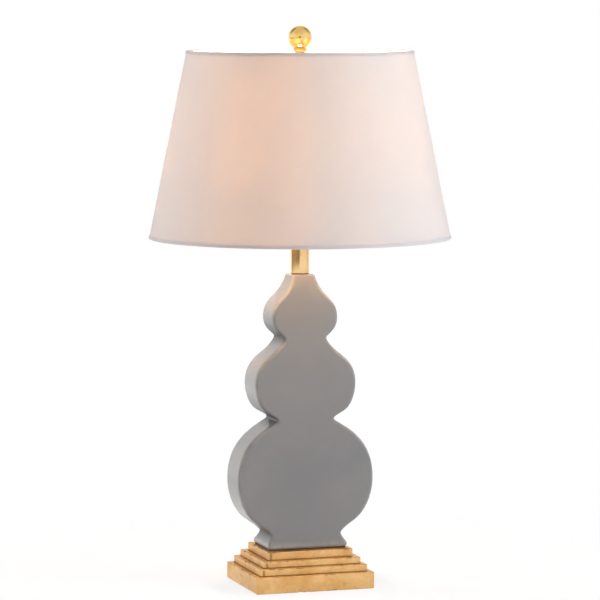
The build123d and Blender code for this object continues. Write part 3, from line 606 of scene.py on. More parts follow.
for k in range(1, top_steps + 1):
    turn = pi / 2 * k / top_steps
    less = top_edge * (1 - cos(turn))
    top_x = top_half - less + 0.25 * (1 - k / top_steps)
    add_ring(gourd_ring(top_x, top_z + top_edge * sin(turn), 0,
                        depth_at(top_z) - less, max(gourd_edge - less, 1.0)), 0.6)
gourd_top = gourd_base + gourd_height
add_ring(hole_ring(rings[-1], pipe_hole, gourd_top))
add_ring(hole_ring(rings[-1], pipe_hole, gourd_top - gourd_floor))
inner = [point for point in outline[::-3] if gourd_floor < point[1] < gourd_height - gourd_floor]
for x, z in inner:
    add_ring(gourd_ring(x - gourd_wall, z, 0, depth_at(z) - gourd_wall, 2.0))
add_ring(hole_ring(rings[0], pipe_hole, gourd_base + gourd_floor))
add_ring(hole_ring(rings[0], pipe_hole, gourd_base))

# %% The gourd
gourd = skin("gourd", rings, True, {"edge": at_edge, "crease": at_crease}, 60.0)
finished(gourd, "lamp_base", "grey_glaze", "gourd_body")

# %% [markdown]
# The plinth is cast resin under gold leaf, in four steps. Each step reads as a board of its own:
# its edges are soft from the gesso under the leaf, a dark seam runs along its foot, and the boards
# meet in mitred corners that show as hairlines. The leaf is rubbed through to brown in places. It
# is built as rings again, here rounded rectangles, so that the seams are real grooves and the
# corners real rounds, and the mesh carries where seams, edges and mitres are.

# %% Gold leaf
def gold_leaf():
    f = Finish("gold_leaf")
    here = f.place()
    cloud = f.noise(here, 22.0, 5.0, 0.6, 0.4)
    gold = f.blend(f.span(cloud, 0.35, 0.68), (0.72, 0.395, 0.14), (0.87, 0.555, 0.24))
    fine = f.noise(f.place(stretch=(1, 1, 3.5)), 130.0, 4.0, 0.65)
    gold = f.blend(f.span(fine, 0.45, 0.75) * 0.35, gold, (0.60, 0.31, 0.11))
    rub = f.span(f.noise(here, 34.0, 6.0, 0.7, 0.6), 0.60, 0.70)
    worn = rub * 0.30 + f.mark("edge") * f.span(f.noise(here, 75.0, 4.0, 0.7), 0.52, 0.64) * 0.85
    gold = f.blend(worn, gold, (0.30, 0.115, 0.035))
    spot = f.span(f.noise(here, 210.0, 3.0, 0.6), 0.70, 0.75)
    gold = f.blend(spot * 0.6, gold, (0.16, 0.07, 0.03))
    mitre = f.mark("mitre") * f.span(f.noise(here, 90.0, 2.0), 0.36, 0.5, 0.25, 1.0)
    gold = f.blend(mitre * 0.75, gold, (0.15, 0.055, 0.02))
    gold = f.blend(f.mark("seam") * 0.76, gold, (0.19, 0.078, 0.028))
    dull = f.mark("seam") * 0.3 + worn * 0.25 + f.span(cloud, 0.3, 0.7, 0.36, 0.46)
    brushed = f.bump(f.noise(f.place(stretch=(1, 1, 6)), 85.0, 4.0, 0.6), 0.0005, 0.35)
    leaf = f.bump(f.noise(here, 420.0, 3.0, 0.6), 0.00015, 0.5, brushed)
    metal = 0.85 - f.mark("seam") * 0.7 - worn * 0.5
    return f.done(f.coat(Base_Color=gold, Metallic=metal, Roughness=dull, Normal=leaf, IOR=1.5))


finishes["gilded_resin"] = gold_leaf()

# %% The plinth's rings
slab_length, slab_width, slab_bottom, slab_height = 165.6, 140.8, 1.0, 22.2
step_insets, step_rises = (7.6, 7.0, 8.5), (9.7, 8.9, 10.9)
step_corner, step_edge, plinth_wall, cover_corner = 2.0, 1.3, 7.5, 3.0
corner_steps, long_steps, short_steps, face_steps, edge_turns = 6, 56, 48, 4, 5
cover_rim, cover_rebate, bush_radius, bush_height, pipe_gap = 4.0, 2.4, 5.1, 12.5, 5.1
mitre_inset, mitre_half, top_border = 4.0, 1.5, 6


def box_ring(half_length, half_width, corner, height):
    """A level rounded rectangle, anticlockwise from the middle of its right side."""
    corner_x, corner_y = half_length - corner, half_width - corner
    half_long, half_short = long_steps // 2, short_steps // 2
    right = [(half_length, corner_y * k / half_short) for k in range(half_short)]
    turns = [pi / 2 * k / corner_steps for k in range(corner_steps + 1)]
    right += [(corner_x + corner * cos(a), corner_y + corner * sin(a)) for a in turns]
    right += [(corner_x * (1 - k / half_long), half_width) for k in range(1, half_long)]
    left = [(-x, y) for x, y in right[:0:-1]]
    half = right + [(0.0, half_width)] + left
    ring = half + [(-half_length, 0.0)] + [(x, -y) for x, y in left[::-1]]
    ring += [(0.0, -half_width)] + [(x, -y) for x, y in right[:0:-1]]
    return [(x * mm, y * mm, height * mm) for x, y in ring]


plinth_rings, seams, edges, mitres = [], [], [], []


def add_marked(ring, *marks):
    """Adds a ring, and how much of a seam, an edge and a mitre it is."""
    plinth_rings.append(ring)
    for values, mark in zip((seams, edges, mitres), marks):
        values.extend(mark if isinstance(mark, list) else [mark] * len(ring))


def add_box_ring(inset, height, seam=0.0, edge=0.0, mitre=0.0, corner=step_corner):
    """Adds a ring of the plinth. Mitres show at the left ends of the front and the back."""
    half_length, half_width = slab_length / 2 - inset, slab_width / 2 - inset
    ring = box_ring(half_length, half_width, corner, height)
    hairline = []
    for x, y, _ in ring:
        on_face = half_width - abs(y) / mm < 0.1 and x < 0
        off = abs(half_length - abs(x) / mm - mitre_inset)
        hairline.append(mitre if on_face and off < mitre_half else 0.0)
    add_marked(ring, seam, edge, hairline)


# Each row is how far a ring is in and up from the step's foot, and its seam, edge and mitre.
slab_foot = [(0.8, 0.0, 0.5, 0.8, 0), (0.0, 0.8, 0.0, 1.0, 0)]
step_foot = [(-1.5, 0.0, 0.0, 0, 0), (-0.9, -0.05, 0.6, 0, 0), (0.1, -0.55, 1.0, 0, 0),
             (0.2, 0.5, 1.0, 0, 0), (0.0, 1.1, 0.35, 0.4, 1)]
foot_height = 1.6
levels = [slab_bottom + slab_height]
for rise in step_rises:
    levels.append(levels[-1] + rise)
for number, top in enumerate(levels):
    bottom, inset = levels[number - 1] if number else slab_bottom, sum(step_insets[:number])
    for inward, rise, *marks in step_foot if number else slab_foot:
        add_box_ring(inset + inward, bottom + rise, *marks)
    base = bottom + foot_height
    for k in range(face_steps + 1):
        height = base + (top - step_edge - base) * (k / face_steps)
        add_box_ring(inset, height, 0.0, 0.12, 1 if number else 0)
    for k in range(1, edge_turns + 1):
        turn = pi / 2 * k / edge_turns
        inward = step_edge * (1 - cos(turn))
        add_box_ring(inset + inward, top - step_edge + step_edge * sin(turn), 0.0, 1.0)
add_box_ring(inset + top_border, top)
for height in (top, top - plinth_wall):
    add_marked(hole_ring(plinth_rings[0], pipe_gap, height), 0.0, 0.0, 0.0)
for number in (3, 2, 1, 0):
    inner_inset = sum(step_insets[:number]) + plinth_wall
    low = levels[number - 1] - plinth_wall if number else slab_bottom + cover_rebate
    add_box_ring(inner_inset, levels[number] - plinth_wall)
    add_box_ring(inner_inset, low)
for height in (slab_bottom + cover_rebate, slab_bottom):
    add_box_ring(cover_rim, height, corner=cover_corner)

# %% The plinth
# Small dents are knocked into the slab's lower edge, where such a base chips first. Each is a
# place along the edge, -1 for the front or 1 for the back, a width and a depth.
plinth = skin("plinth_block", plinth_rings, True,
              {"seam": seams, "edge": edges, "mitre": mitres}, 45.0)
dents = [(-22, -1, 3.2, 0.9), (-12, -1, 2.2, 0.6), (31, -1, 1.6, 0.4), (58, 1, 2.4, 0.7)]
seam_mark = plinth.data.attributes["seam"].data
for point in plinth.data.vertices:
    for x, side, width, deep in dents:
        near = hypot(point.co.x / mm - x, (point.co.z / mm - slab_bottom) * 1.3) / width
        if near < 1 and point.co.y * side > (slab_width / 2 - 1.5) * mm:
            point.co.z += deep * (1 - near * near) * mm
            point.co.y -= side * 0.5 * deep * (1 - near * near) * mm
            seam_mark[point.index].value = max(seam_mark[point.index].value, 0.9 * (1 - near))

# The hole for the cord's bush is cut with a short round bar.
bar_reach, bar_steps = 4, 32
bar_turns = [2 * pi * k / bar_steps for k in range(bar_steps)]
bar_rings = [
    [(bush_radius * mm * cos(a), y * mm, (bush_height + bush_radius * sin(a)) * mm)
     for a in bar_turns]
    for y in (slab_width / 2 - plinth_wall - bar_reach, slab_width / 2 + bar_reach)
]
bar_ends = [[(0, ring[0][1], bush_height * mm)] * bar_steps for ring in bar_rings]
bar = skin("bush_hole", [bar_ends[0], *bar_rings, bar_ends[1]])
hole = plinth.modifiers.new("bush_hole", "BOOLEAN")
hole.operation, hole.solver, hole.object = "DIFFERENCE", "EXACT", bar
drilled = plain_mesh(plinth)
plinth.modifiers.remove(hole)
plinth.data = drilled
bpy.data.objects.remove(bar)
finished(plinth, "lamp_base", "gilded_resin", "plinth")
print("the plinth has", len(drilled.polygons), "faces after its cord hole is cut")

# %% [markdown]
# The neck and the finial are polished brass under lacquer. Polished metal shows hardly any colour
# of its own, only a tinted picture of the room, so its finish is nearly a mirror with faint
# turning lines and a little cloudiness.

# %% Polished brass
def polished_metal(name, pale, deep, rough=0.09):
    f = Finish(name)
    cloud = f.noise(f.place(), 70.0, 3.0)
    colour = f.blend(f.span(cloud, 0.35, 0.7), pale, deep)
    turning = f.noise(f.place(stretch=(1, 1, 40)), 55.0, 2.0, 0.6)
    roughness = f.span(cloud, 0.3, 0.7, rough, rough * 1.7)
    normal = f.bump(turning, 0.00006, 0.25)
    return f.done(f.coat(Base_Color=colour, Metallic=1.0, Roughness=roughness, Normal=normal))


for row in (("polished_brass", (0.91, 0.63, 0.32), (0.86, 0.55, 0.25)),
            ("gilded_brass", (0.93, 0.66, 0.27), (0.88, 0.57, 0.19), 0.07)):
    finishes[row[0]] = polished_metal(*row)

# %% The neck
neck_low, neck_high, neck_outer, neck_inner = 423.0, 476.0, 12.5, 11.3
neck = turned("neck_sleeve", [
    (neck_inner, neck_low, 0.2), (neck_outer, neck_low, 0.5),
    (neck_outer, neck_high, 0.4), (neck_inner, neck_high, 0.2),
], 128)
finished(neck, "lamp_base", "polished_brass", "neck_tube")

# %% [markdown]
# The finial has a turned foot and a hollow ball pressed onto it. In the CAD the foot's edges are
# plain chamfers. Here they are full beads and coves, as a form tool leaves them.

# %% The finial
collar_low, collar_top, ball_radius, ball_sink = 708.9, 725.0, 15.8, 1.9
ball_centre = collar_top - ball_sink + ball_radius
collar_corners = [
    (3.2, 0.0, 0.1), (8.5, 0.0, 0.5), (8.6, 1.0, 0.8), (8.2, 2.1, 0.8), (6.0, 3.6, 1.6),
    (5.4, 6.6, 2.2), (5.9, 9.6, 1.6), (7.6, 10.7, 0.9), (9.0, 11.7, 1.4), (9.0, 14.3, 1.6),
    (7.4, 16.1, 0.8), (4.0, 16.1, 0.2), (4.0, 22.1, 0.3), (0.0, 22.1, 0.0), (0.0, 11.6, 0.0),
    (3.2, 11.6, 0.1),
]
collar = turned("finial_foot_turned", [(r, collar_low + z, e) for r, z, e in collar_corners])
finished(collar, "finial", "gilded_brass", "finial_collar")
ball_steps, bore_radius, bore_depth = 64, 4.05, 6.1
flat = (ball_radius**2 - (ball_centre - collar_top) ** 2) ** 0.5
low_turn = atan2(collar_top - ball_centre, flat)
ball_line = [(0.0, collar_top + bore_depth), (bore_radius, collar_top + bore_depth),
             (bore_radius, collar_top)]
for k in range(ball_steps):
    turn = low_turn + (pi / 2 - low_turn) * k / ball_steps
    ball_line.append((ball_radius * cos(turn), ball_centre + ball_radius * sin(turn)))
ball_line.append((0.0, ball_centre + ball_radius))
ball = skin("finial_globe", [round_ring(r * mm, z * mm) for r, z in ball_line])
finished(ball, "finial", "gilded_brass", "finial_ball")

# %% [markdown]
# The shade is linen bonded to a stiff translucent sheet, rolled into a cone. The lit bulb inside
# glows through both, and cloth that only shines from outside would look like paint. So the cloth
# mixes a matt surface with a translucent one, and the bulb is a real light. The weave is a plain
# one with slubs, drawn on the cloth's own flat pattern, so it follows the cone.

# %% Linen
shade_low, shade_high, wide_radius, narrow_radius = 470.4, 721.4, 203.2, 152.4
slope = (wide_radius - narrow_radius) / (shade_high - shade_low)
slant = hypot(1, slope)


def linen(name, through, outside, inside, weave=0.5):
    f = Finish(name)
    flat_place = f.add("ShaderNodeUVMap", {"uv_map": "cloth"})
    around, along, _ = f.parts(flat_place)

    def threads(across, pitch):
        """Raised threads that run along one way, thicker here and there."""
        drift = f.noise(flat_place, 60.0, 2.0) * 0.35
        turn = (across + drift * pitch) * (2 * pi / pitch)
        return turn.sine() * 0.5 + 0.5

    def slubs(stretch, scale, low, high):
        """Short thick places in the yarn."""
        return f.span(f.noise(f.stretched(flat_place, stretch), scale, 2.0, 0.6), low, high)

    warp, weft = threads(around, 0.0009), threads(along, 0.0010)
    slub = slubs((6, 110, 1), 9.0, 0.55, 0.78) * 0.6 + slubs((120, 5, 1), 9.0, 0.6, 0.8) * 0.4
    height = (warp + weft) * 0.5 + slub * 1.2
    relief = f.bump(height, 0.00022, weave)
    cloud = f.span(f.noise(flat_place, 11.0, 4.0, 0.6), 0.3, 0.7)
    tint = f.blend(cloud * 0.35 + slub * 0.4, outside, tuple(0.93 * c for c in outside))
    matt = f.coat(Base_Color=tint, Roughness=0.86, Normal=relief, Sheen_Weight=0.6,
                  Sheen_Roughness=0.4, Sheen_Tint=(0.78, 0.90, 1.0))
    lit = f.add("ShaderNodeBsdfTranslucent", None, {"Color": inside, "Normal": relief})
    passed = through * (1.0 - (slub * 0.22 + cloud * 0.08))
    return f.done(f.add("ShaderNodeMixShader", None, {"Fac": passed, 1: matt, 2: lit}))


finishes["linen"] = linen("linen", 0.45, (0.855, 0.90, 0.955), (0.98, 0.82, 0.68))
hem_linen = linen("linen_hem", 0.34, (0.96, 0.89, 0.885), (0.96, 0.80, 0.69), 0.8)

# %% The shade's cloth
cloth_columns, cloth_rows = 288, 46
trim_thickness, cloth_thickness, liner_gap = 0.4, 0.5, 0.1
cloth_low, cloth_high = shade_low + trim_thickness, shade_high - trim_thickness
seam_turn, seam_half, seam_raise = pi / 2, 0.030, 0.28  # at the back, in radians and mm


def cone_at(z, inset):
    """The shade's radius at a height, less a thickness."""
    return wide_radius - slope * (z - shade_low) - inset * slant


def on_cone(radius, turn, z):
    return (radius * cos(turn) * mm, radius * sin(turn) * mm, z * mm)


def seam_lift(turn):
    """How far the lapped seam at the back stands proud."""
    apart = (turn - seam_turn + pi) % (2 * pi) - pi
    if abs(apart) > seam_half:
        return 0.0
    return seam_raise * max(0.0, 1 - (apart + seam_half) / (2 * seam_half))


def cloth_ring(z, inset, lapped):
    """One ring of the cloth, with slight ripples. The lapped seam shows on the outside only."""
    ring = []
    for k in range(cloth_columns):
        turn = 2 * pi * k / cloth_columns
        ripple = 0.10 * sin(7 * turn + z * 0.02) + 0.06 * sin(17 * turn - z * 0.05)
        lift = seam_lift(turn) if lapped else 0.0
        ring.append(on_cone(cone_at(z, inset) + (lift + ripple * 0.5), turn, z))
    return ring


heights = [cloth_low + (cloth_high - cloth_low) * k / cloth_rows for k in range(cloth_rows + 1)]
cloth_rings = [cloth_ring(z, trim_thickness, True) for z in heights]
cloth_inside = trim_thickness + cloth_thickness - liner_gap
cloth_rings += [cloth_ring(z, cloth_inside, False) for z in heights[::-1]]
cloth = skin("shade_linen", cloth_rings, True, sharp=50.0)


def lay_flat(piece):
    """Gives a shade piece the coordinates of its flat pattern, in metres."""
    layer = piece.data.uv_layers.new(name="cloth")
    middle = (wide_radius + narrow_radius) / 2 * mm
    for face in piece.data.polygons:
        turns = []
        for corner in face.loop_indices:
            point = piece.data.vertices[piece.data.loops[corner].vertex_index].co
            turn = (atan2(point.y, point.x) - seam_turn) % (2 * pi)
            turns.append((corner, turn, point.z))
        highest = max(turn for _, turn, _ in turns)
        for corner, turn, z in turns:
            if highest - turn > pi:
                turn += 2 * pi
            layer.data[corner].uv = (turn * middle, (z - shade_low * mm) * slant)


lay_flat(cloth)
finished(cloth, "shade", "linen", "shade_cloth")


# %% [markdown]
# Each rim is closed by a strip of the same linen, rolled over the edge and the wire ring and
# glued. Its section is a small hook with a rounded fold. On the outside it stands only a thread's
# width above the cloth, so from afar it reads as a thin, slightly darker line.

# %% The rolled hems
def hem(name, edge, way, node):
    """The linen strip over one rim. way is 1 at the bottom rim and -1 at the top one."""
    out, wall, ring_reach = -0.25, trim_thickness, 4.4
    section = []
    for inset, rise, rounding in (
        (wall - 0.05, 4.2, 0.0), (out, 4.0, 0.25), (out, 0.0, 1.1), (ring_reach + 0.6, 0.0, 1.1),
        (ring_reach + 0.7, 5.4, 0.3), (ring_reach + 0.2, 5.4, 0.2), (ring_reach, 0.5, 0.9),
        (wall + 0.05, 0.5, 0.6),
    ):
        z = edge + way * rise
        section.append((cone_at(z, inset), z, rounding))
    rings = []
    for r, z in eased(section, 5):
        ring = []
        for k in range(cloth_columns):
            turn = 2 * pi * k / cloth_columns
            pucker = 0.08 * sin(53 * turn) * sin(5 * turn) + 0.05 * sin(31 * turn + 1)
            ring.append(on_cone(r + pucker * (1 if r > cone_at(z, 1.0) else 0.4), turn, z))
        rings.append(ring)
    strip = skin(name, rings, True, sharp=60.0)
    lay_flat(strip)
    return finished(strip, "shade", "linen", node, hem_linen)


hem_low = hem("hem_bottom", shade_low, 1, "bottom_trim")
hem_high = hem("hem_top", shade_high, -1, "top_trim")

# %% [markdown]
# Screws, pads, spokes and threads repeat or follow a rule. They could be modelled one by one, but
# Geometry Nodes build each from a few named sizes, which is quicker to change. A small class
# builds the tree, sets its sizes on a modifier, and turns what comes out into a plain mesh.

# %% Trees of geometry nodes
class Shapes(Nodes):
    """A tree of geometry nodes with named sizes, in metres."""

    def __init__(self, name, **sizes):
        super().__init__(bpy.data.node_groups.new(name, "GeometryNodeTree"))
        self.name, self.sizes = name, sizes
        for key, value in sizes.items():
            kind = "NodeSocketInt" if isinstance(value, int) else "NodeSocketFloat"
            self.tree.interface.new_socket(key, in_out="INPUT", socket_type=kind)
        self.tree.interface.new_socket("Shape", in_out="OUTPUT", socket_type="NodeSocketGeometry")

    def size(self, name):
        """A named size, as a number that nodes can use."""
        return self.add("NodeGroupInput", out=name)

    def vector(self, x=0.0, y=0.0, z=0.0):
        return self.add("ShaderNodeCombineXYZ", None, {"X": x, "Y": y, "Z": z})

    def shape(self, kind, settings=None, values=None, out=0):
        """A node whose name starts as all geometry nodes' names do."""
        return self.add("GeometryNode" + kind, settings, values, out)

    def moved(self, shape, place):
        """Sets every point of a shape to a place."""
        return self.shape("SetPosition", None, {"Geometry": shape, "Position": place})

    def thread(self, x, y, above):
        """A wave from -1 to 0 that climbs one pitch in each turn round the axis."""
        turns = above / self.size("Pitch")
        return (turns * (2 * pi) - self.sum("ARCTAN2", y, x)).sine() * 0.5 - 0.5

    def at_corners(self, shape, lift=0.0):
        """Four copies of a shape, at the corners of a rectangle."""
        sides = {"Size X": self.size("Width"), "Size Y": self.size("Breadth")}
        sides.update({"Vertices X": 2, "Vertices Y": 2})
        corners = {"Geometry": self.shape("MeshGrid", None, sides, "Mesh")}
        corners = self.shape("SetPosition", None, {**corners, "Offset": self.vector(z=lift)})
        return self.shape("InstanceOnPoints", None, {"Points": corners, "Instance": shape})

    def made(self, shape, slot, sharp=40.0):
        """Ends the tree, runs it once, and returns the piece as a plain mesh."""
        shape = self.shape("RealizeInstances", None, {"Geometry": shape})
        coated = {"Geometry": shape, "Material": finishes[slot]}
        shape = self.shape("SetMaterial", None, coated)
        self.tree.links.new(shape.socket, self.tree.nodes.new("NodeGroupOutput").inputs[0])
        holder = bpy.data.objects.new(self.name, bpy.data.meshes.new(self.name))
        bpy.context.scene.collection.objects.link(holder)
        run = holder.modifiers.new(self.name, "NODES")
        run.node_group = self.tree
        for item in self.tree.interface.items_tree:
            if item.in_out == "INPUT":
                run[item.identifier] = self.sizes[item.name]
        mesh = plain_mesh(holder)
        mesh.name = self.name
        bpy.data.objects.remove(holder)
        return piece_from(self.name, mesh, sharp)


# %% [markdown]
# The bulb screws into its socket by a rolled thread: both the bulb's cap and the shell around it
# are thin metal, pressed into the same wave. A cylinder with many rings becomes such a thread when
# each point moves out by a wave of its height and of its angle together, so that one turn round
# the axis climbs one pitch. The wave dies out at both ends.

# %% Rolled threads
def rolled_thread(name, low, high, crest, depth):
    """A thin sleeve with a rolled thread, between two heights, with its crests at a radius."""
    rise, row_height, fade_out = high - low, 0.33, 2.5 * mm
    f = Shapes(name, Crest=crest * mm, Depth=depth * mm, Wall=0.14 * mm, Low=low * mm,
               Rise=rise * mm, Pitch=3.63 * mm, Columns=72, Rows=int(rise / row_height))
    grid = {"Vertices": f.size("Columns"), "Side Segments": f.size("Rows")}
    grid.update({"Radius": 1.0, "Depth": f.size("Rise")})
    sleeve = f.shape("MeshCylinder", {"fill_type": "NONE"}, grid, "Mesh")
    x, y, z = f.parts(f.add("GeometryNodeInputPosition"))
    above = z + f.size("Rise") * 0.5
    fade = f.span(above, 0.0, fade_out) * f.span(f.size("Rise") - above, 0.0, fade_out)
    radius = f.size("Crest") + f.thread(x, y, above) * f.size("Depth") * fade
    thinner, level = radius - f.size("Wall"), above + f.size("Low")
    outside = f.moved(sleeve, f.vector(x * radius, y * radius, level))
    inside = f.moved(sleeve, f.vector(x * thinner, y * thinner, level))
    inside = f.shape("FlipFaces", None, {"Mesh": inside})
    both = f.tree.nodes.new("GeometryNodeJoinGeometry")
    for wall in (outside, inside):
        f.tree.links.new(wall.socket, both.inputs[0])
    return closed_sleeve(f.made(Amount(f, both.outputs[0]), "aluminium", 60.0))


def closed_sleeve(piece):
    """Joins the outer and inner walls of a thin sleeve at both rims."""
    work = bmesh.new()
    work.from_mesh(piece.data)
    rims = [edge for edge in work.edges if edge.is_boundary]
    levels = {round(edge.verts[0].co.z, 6) for edge in rims}
    for level_z in levels:
        near = [e for e in rims if abs(e.verts[0].co.z - level_z) < 1e-5]
        bmesh.ops.bridge_loops(work, edges=near)
    work.to_mesh(piece.data)
    work.free()
    print(piece.name, "is closed, with", len(piece.data.polygons), "faces")
    return piece


# %% [markdown]
# Most pieces inside the shade and under the plinth keep their CAD shapes, and take a finish each,
# by the name of their material in the record. Every finish has the small unevenness of the real
# one: the film of a plated part, the grain of a moulded one, the fibres of felt and board.

# %% Finishes of the small pieces
def plain_coat(name, first, second, scale, gloss, metal=0.0, relief=0.0001, stretch=(1, 1, 1),
               **more):
    """A finish whose colour and roughness vary between two values, with a fine relief."""
    f = Finish(name)
    where = f.place(stretch=stretch)
    grain = f.noise(where, scale, 4.0, 0.6)
    colour = f.blend(f.span(grain, 0.3, 0.7), first, second)
    rough = f.span(grain, 0.25, 0.75, *gloss)
    normal = f.bump(f.noise(where, scale * 3, 3.0), relief, 0.5)
    more.update(Base_Color=colour, Roughness=rough, Metallic=metal, Normal=normal)
    return f.done(f.coat(**more))


def sheet_plastic():
    """The stiff white sheet behind the cloth, which lets the bulb's light through."""
    f = Finish("shade_sheet")
    cloud = f.noise(f.place(), 30.0, 3.0)
    colour = f.blend(f.span(cloud, 0.3, 0.7), (0.80, 0.745, 0.65), (0.76, 0.705, 0.61))
    face = f.coat(Base_Color=colour, Roughness=0.4)
    lit = f.add("ShaderNodeBsdfTranslucent", None, {"Color": (0.94, 0.92, 0.89)})
    passed = f.span(cloud, 0.3, 0.7, 0.62, 0.66)
    return f.done(f.add("ShaderNodeMixShader", None, {"Fac": passed, 1: face, 2: lit}))


bulb_strength, neck_start, neck_end = 348.0, 0.545, 0.605


def lit_glass():
    """The frosted bulb, lit from inside, a little dimmer towards its neck."""
    f = Finish("frosted_glass")
    where = f.place()
    full = f.span(f.parts(where)[2], neck_start, neck_end, 0.30, 1.0)
    colour = f.blend(full, (0.50, 0.34, 0.20), (1.0, 0.70, 0.45))
    frost = f.bump(f.noise(where, 900.0, 2.0), 0.00004, 0.4)
    return f.done(f.coat(Base_Color=(0.85, 0.84, 0.82), Roughness=0.35, Normal=frost,
                         Emission_Color=colour, Emission_Strength=bulb_strength))


# Each row is a name, two colours, how fine the grain is, the least and most roughness, and where
# they differ from a plain coat's, the metal, the relief and the stretch.
for row in (
    ("board", (0.33, 0.24, 0.15), (0.24, 0.165, 0.10), 160, (0.75, 0.95), 0.0, 0.0003),
    ("steel", (0.55, 0.56, 0.58), (0.42, 0.43, 0.45), 120, (0.28, 0.45), 1.0),
    ("felt", (0.035, 0.035, 0.035), (0.075, 0.072, 0.07), 900, (0.95, 1.0), 0.0, 0.0006),
    ("black_plastic", (0.012, 0.012, 0.013), (0.025, 0.025, 0.026), 300, (0.32, 0.5)),
    ("dark_rubber", (0.075, 0.028, 0.018), (0.045, 0.018, 0.012), 220, (0.6, 0.8)),
    ("zinc_steel", (0.70, 0.68, 0.60), (0.52, 0.52, 0.50), 90, (0.25, 0.4), 1.0, 0.0001,
     (1, 1, 8)),
    ("brass_plate", (0.86, 0.60, 0.26), (0.72, 0.47, 0.18), 60, (0.18, 0.3), 1.0),
    ("liner_paper", (0.50, 0.38, 0.24), (0.42, 0.31, 0.19), 240, (0.8, 0.95)),
    ("aluminium", (0.82, 0.82, 0.83), (0.66, 0.66, 0.68), 90, (0.22, 0.36), 1.0),
    ("black_glass", (0.01, 0.01, 0.012), (0.02, 0.018, 0.02), 90, (0.08, 0.18)),
    ("white_enamel", (0.80, 0.79, 0.76), (0.70, 0.69, 0.66), 200, (0.25, 0.4)),
):
    finishes[row[0]] = plain_coat(*row)
finishes["clear_glass"] = plain_coat("clear_glass", (0.93, 0.95, 0.94), (0.88, 0.92, 0.91), 40,
                                     (0.02, 0.06), Transmission_Weight=0.9, IOR=1.5)
finishes["frosted_glass"], finishes["shade_sheet"] = lit_glass(), sheet_plastic()
print("the finishes are", ", ".join(finishes))

# %% The bulb's cap and the shell round it
cap_low, cap_high, cap_crest, cap_depth = 522.1, 546.1, 13.05, 0.55
cup_low, cup_high, cup_crest, cup_depth = 515.6, 545.6, 13.9, 0.35
bulb_screw = rolled_thread("bulb_screw", cap_low, cap_high, cap_crest, cap_depth)
finished(bulb_screw, "bulb", "aluminium", "bulb_cap")
socket_screw = rolled_thread("socket_screw", cup_low, cup_high, cup_crest, cup_depth)
finished(socket_screw, "lamp_base", "aluminium", "screw_shell")

# %% [markdown]
# The rest of the repeated pieces are the four screws that hold the bottom board, the four felt
# pads, and the three spokes that carry the shade. Each tree makes one, and sets copies of it at
# the corners of a rectangle or round the axis.

# %% The cover's screws
def cover_screw_set():
    """Four countersunk wood screws with a cross recess, heads down."""
    f = Shapes("board_screws", Shank=1.45 * mm, Head=3.2 * mm, Low=1.0 * mm, Length=11.0 * mm,
               Pitch=1.0 * mm, Groove=0.35 * mm, Width=140.0 * mm, Breadth=115.2 * mm)
    rod = {"Vertices": 40, "Side Segments": 88, "Fill Segments": 1, "Radius": 1.0}
    rod["Depth"] = f.size("Length")
    screw = f.shape("MeshCylinder", {"fill_type": "NGON"}, rod, "Mesh")
    x, y, z = f.parts(f.add("GeometryNodeInputPosition"))
    above = z + f.size("Length") * 0.5
    cone = f.sum("MAXIMUM", f.size("Head") - above, f.size("Shank"))
    threaded = f.span(above, 2.5 * mm, 3.5 * mm)
    point = 1.0 - f.span(above, 9.5 * mm, 11.0 * mm) * 0.8
    radius = (cone + f.thread(x, y, above) * f.size("Groove") * threaded) * point
    screw = f.moved(screw, f.vector(x * radius, y * radius, above))
    for size in ((3.0 * mm, 0.7 * mm, 1.6 * mm), (0.7 * mm, 3.1 * mm, 1.64 * mm)):
        cut = {"Mesh 1": screw, "Mesh 2": f.shape("MeshCube", None, {"Size": size}, "Mesh")}
        screw = f.shape("MeshBoolean", {"operation": "DIFFERENCE"}, cut, "Mesh")
    return f.made(f.at_corners(screw, f.size("Low")), "steel")


finished(cover_screw_set(), "lamp_base", "steel", "cover_screws")


# %% The felt pads
def pad_set():
    """Four felt discs, soft at the rim and a little uneven."""
    f = Shapes("felt_pads", Radius=7.5 * mm, Height=1.6 * mm, Width=112.0 * mm,
               Breadth=88.0 * mm, Seed=7)
    disc = {"Vertices": 56, "Side Segments": 6, "Fill Segments": 9}
    disc.update({"Radius": f.size("Radius"), "Depth": f.size("Height")})
    pad = f.shape("MeshCylinder", {"fill_type": "TRIANGLE_FAN"}, disc, "Mesh")
    place = f.add("GeometryNodeInputPosition")
    x, y, z = f.parts(place)
    softened = 1.0 - f.span(f.sum("ABSOLUTE", z), 0.4 * mm, 0.8 * mm, 0.0, 0.05)
    fluff = f.add("ShaderNodeTexNoise", {"noise_dimensions": "4D"},
                  {"Vector": place, "W": f.size("Seed"), "Scale": 900.0}, "Fac")
    shrink = softened - fluff * 0.02
    pad = f.moved(pad, f.vector(x * shrink, y * shrink, z + f.size("Height") * 0.5))
    return f.made(f.at_corners(pad), "felt")


finished(pad_set(), "lamp_base", "felt", "base_pads")


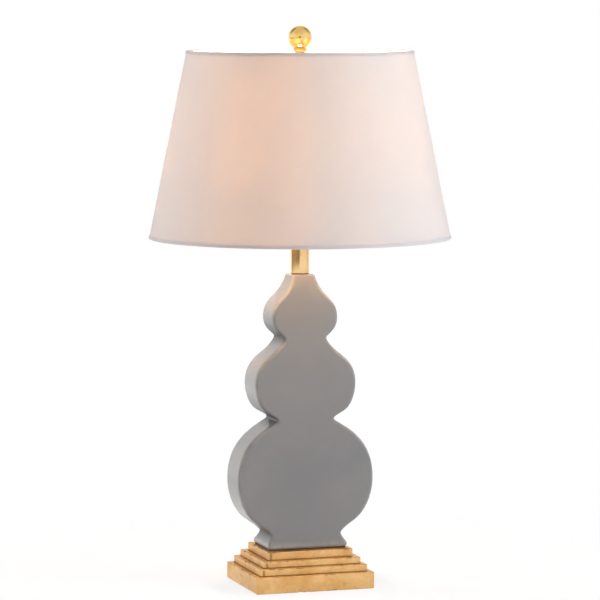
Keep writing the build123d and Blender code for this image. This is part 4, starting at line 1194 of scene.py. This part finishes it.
# %% The shade's spokes
def spoke_set():
    """Three bent wires from the hub out to the top ring."""
    ring_height, ring_inset, ring_dip, start_turn = 719.4, 3.0, 1.2, 30
    f = Shapes("shade_spokes", Root=11.7 * mm, Reach=cone_at(ring_height, ring_inset) * mm,
               Level=706.6 * mm, Top=(ring_height - ring_dip) * mm, Wire=1.5 * mm,
               Bend=8.0 * mm, Count=3)
    line = f.shape("MeshToCurve", None, {"Mesh": f.shape("MeshLine", None, {"Count": 3}, "Mesh")})
    number = f.add("GeometryNodeInputIndex")
    is_out, is_up = f.span(number, 0.0, 1.0), f.span(number, 1.0, 2.0)
    along = f.size("Root") + is_out * (f.size("Reach") - f.size("Root"))
    rise = f.size("Level") + is_up * (f.size("Top") - f.size("Level"))
    line = f.moved(line, f.vector(x=along, z=rise))
    bend = {"Curve": line, "Radius": f.size("Bend"), "Count": 8}
    line = f.shape("FilletCurve", {"mode": "POLY"}, bend)
    section = {"Radius": f.size("Wire"), "Resolution": 20}
    section = f.shape("CurvePrimitiveCircle", None, section, "Curve")
    wire = {"Curve": line, "Profile Curve": section, "Fill Caps": True}
    dots = f.shape("MeshLine", None, {"Count": f.size("Count"), "Offset": (0, 0, 0)}, "Mesh")
    turn = f.vector(z=number * (2 * pi / f.size("Count")) + radians(start_turn))
    around = {"Points": dots, "Instance": f.shape("CurveToMesh", None, wire), "Rotation": turn}
    return f.made(f.shape("InstanceOnPoints", None, around), "white_enamel")


finished(spoke_set(), "shade", "white_enamel", "spider_arms")

# %% [markdown]
# The CAD pieces that are still shown get their finish last. The record says which slot each piece
# takes its finish from, so one loop dresses them all.

# %% Finishes on the CAD pieces
dressed = []
for subpart in frame["record"]["subparts"]:
    finish = finishes.get(subpart["material_slot"])
    node = frame["nodes"][subpart["node"]]
    if finish and not node.hide_render:
        for place in range(len(node.data.materials)):
            node.data.materials[place] = finish
        if not node.data.materials:
            node.data.materials.append(finish)
        dressed.append(subpart["node"])
print(len(dressed), "CAD pieces have their finish")
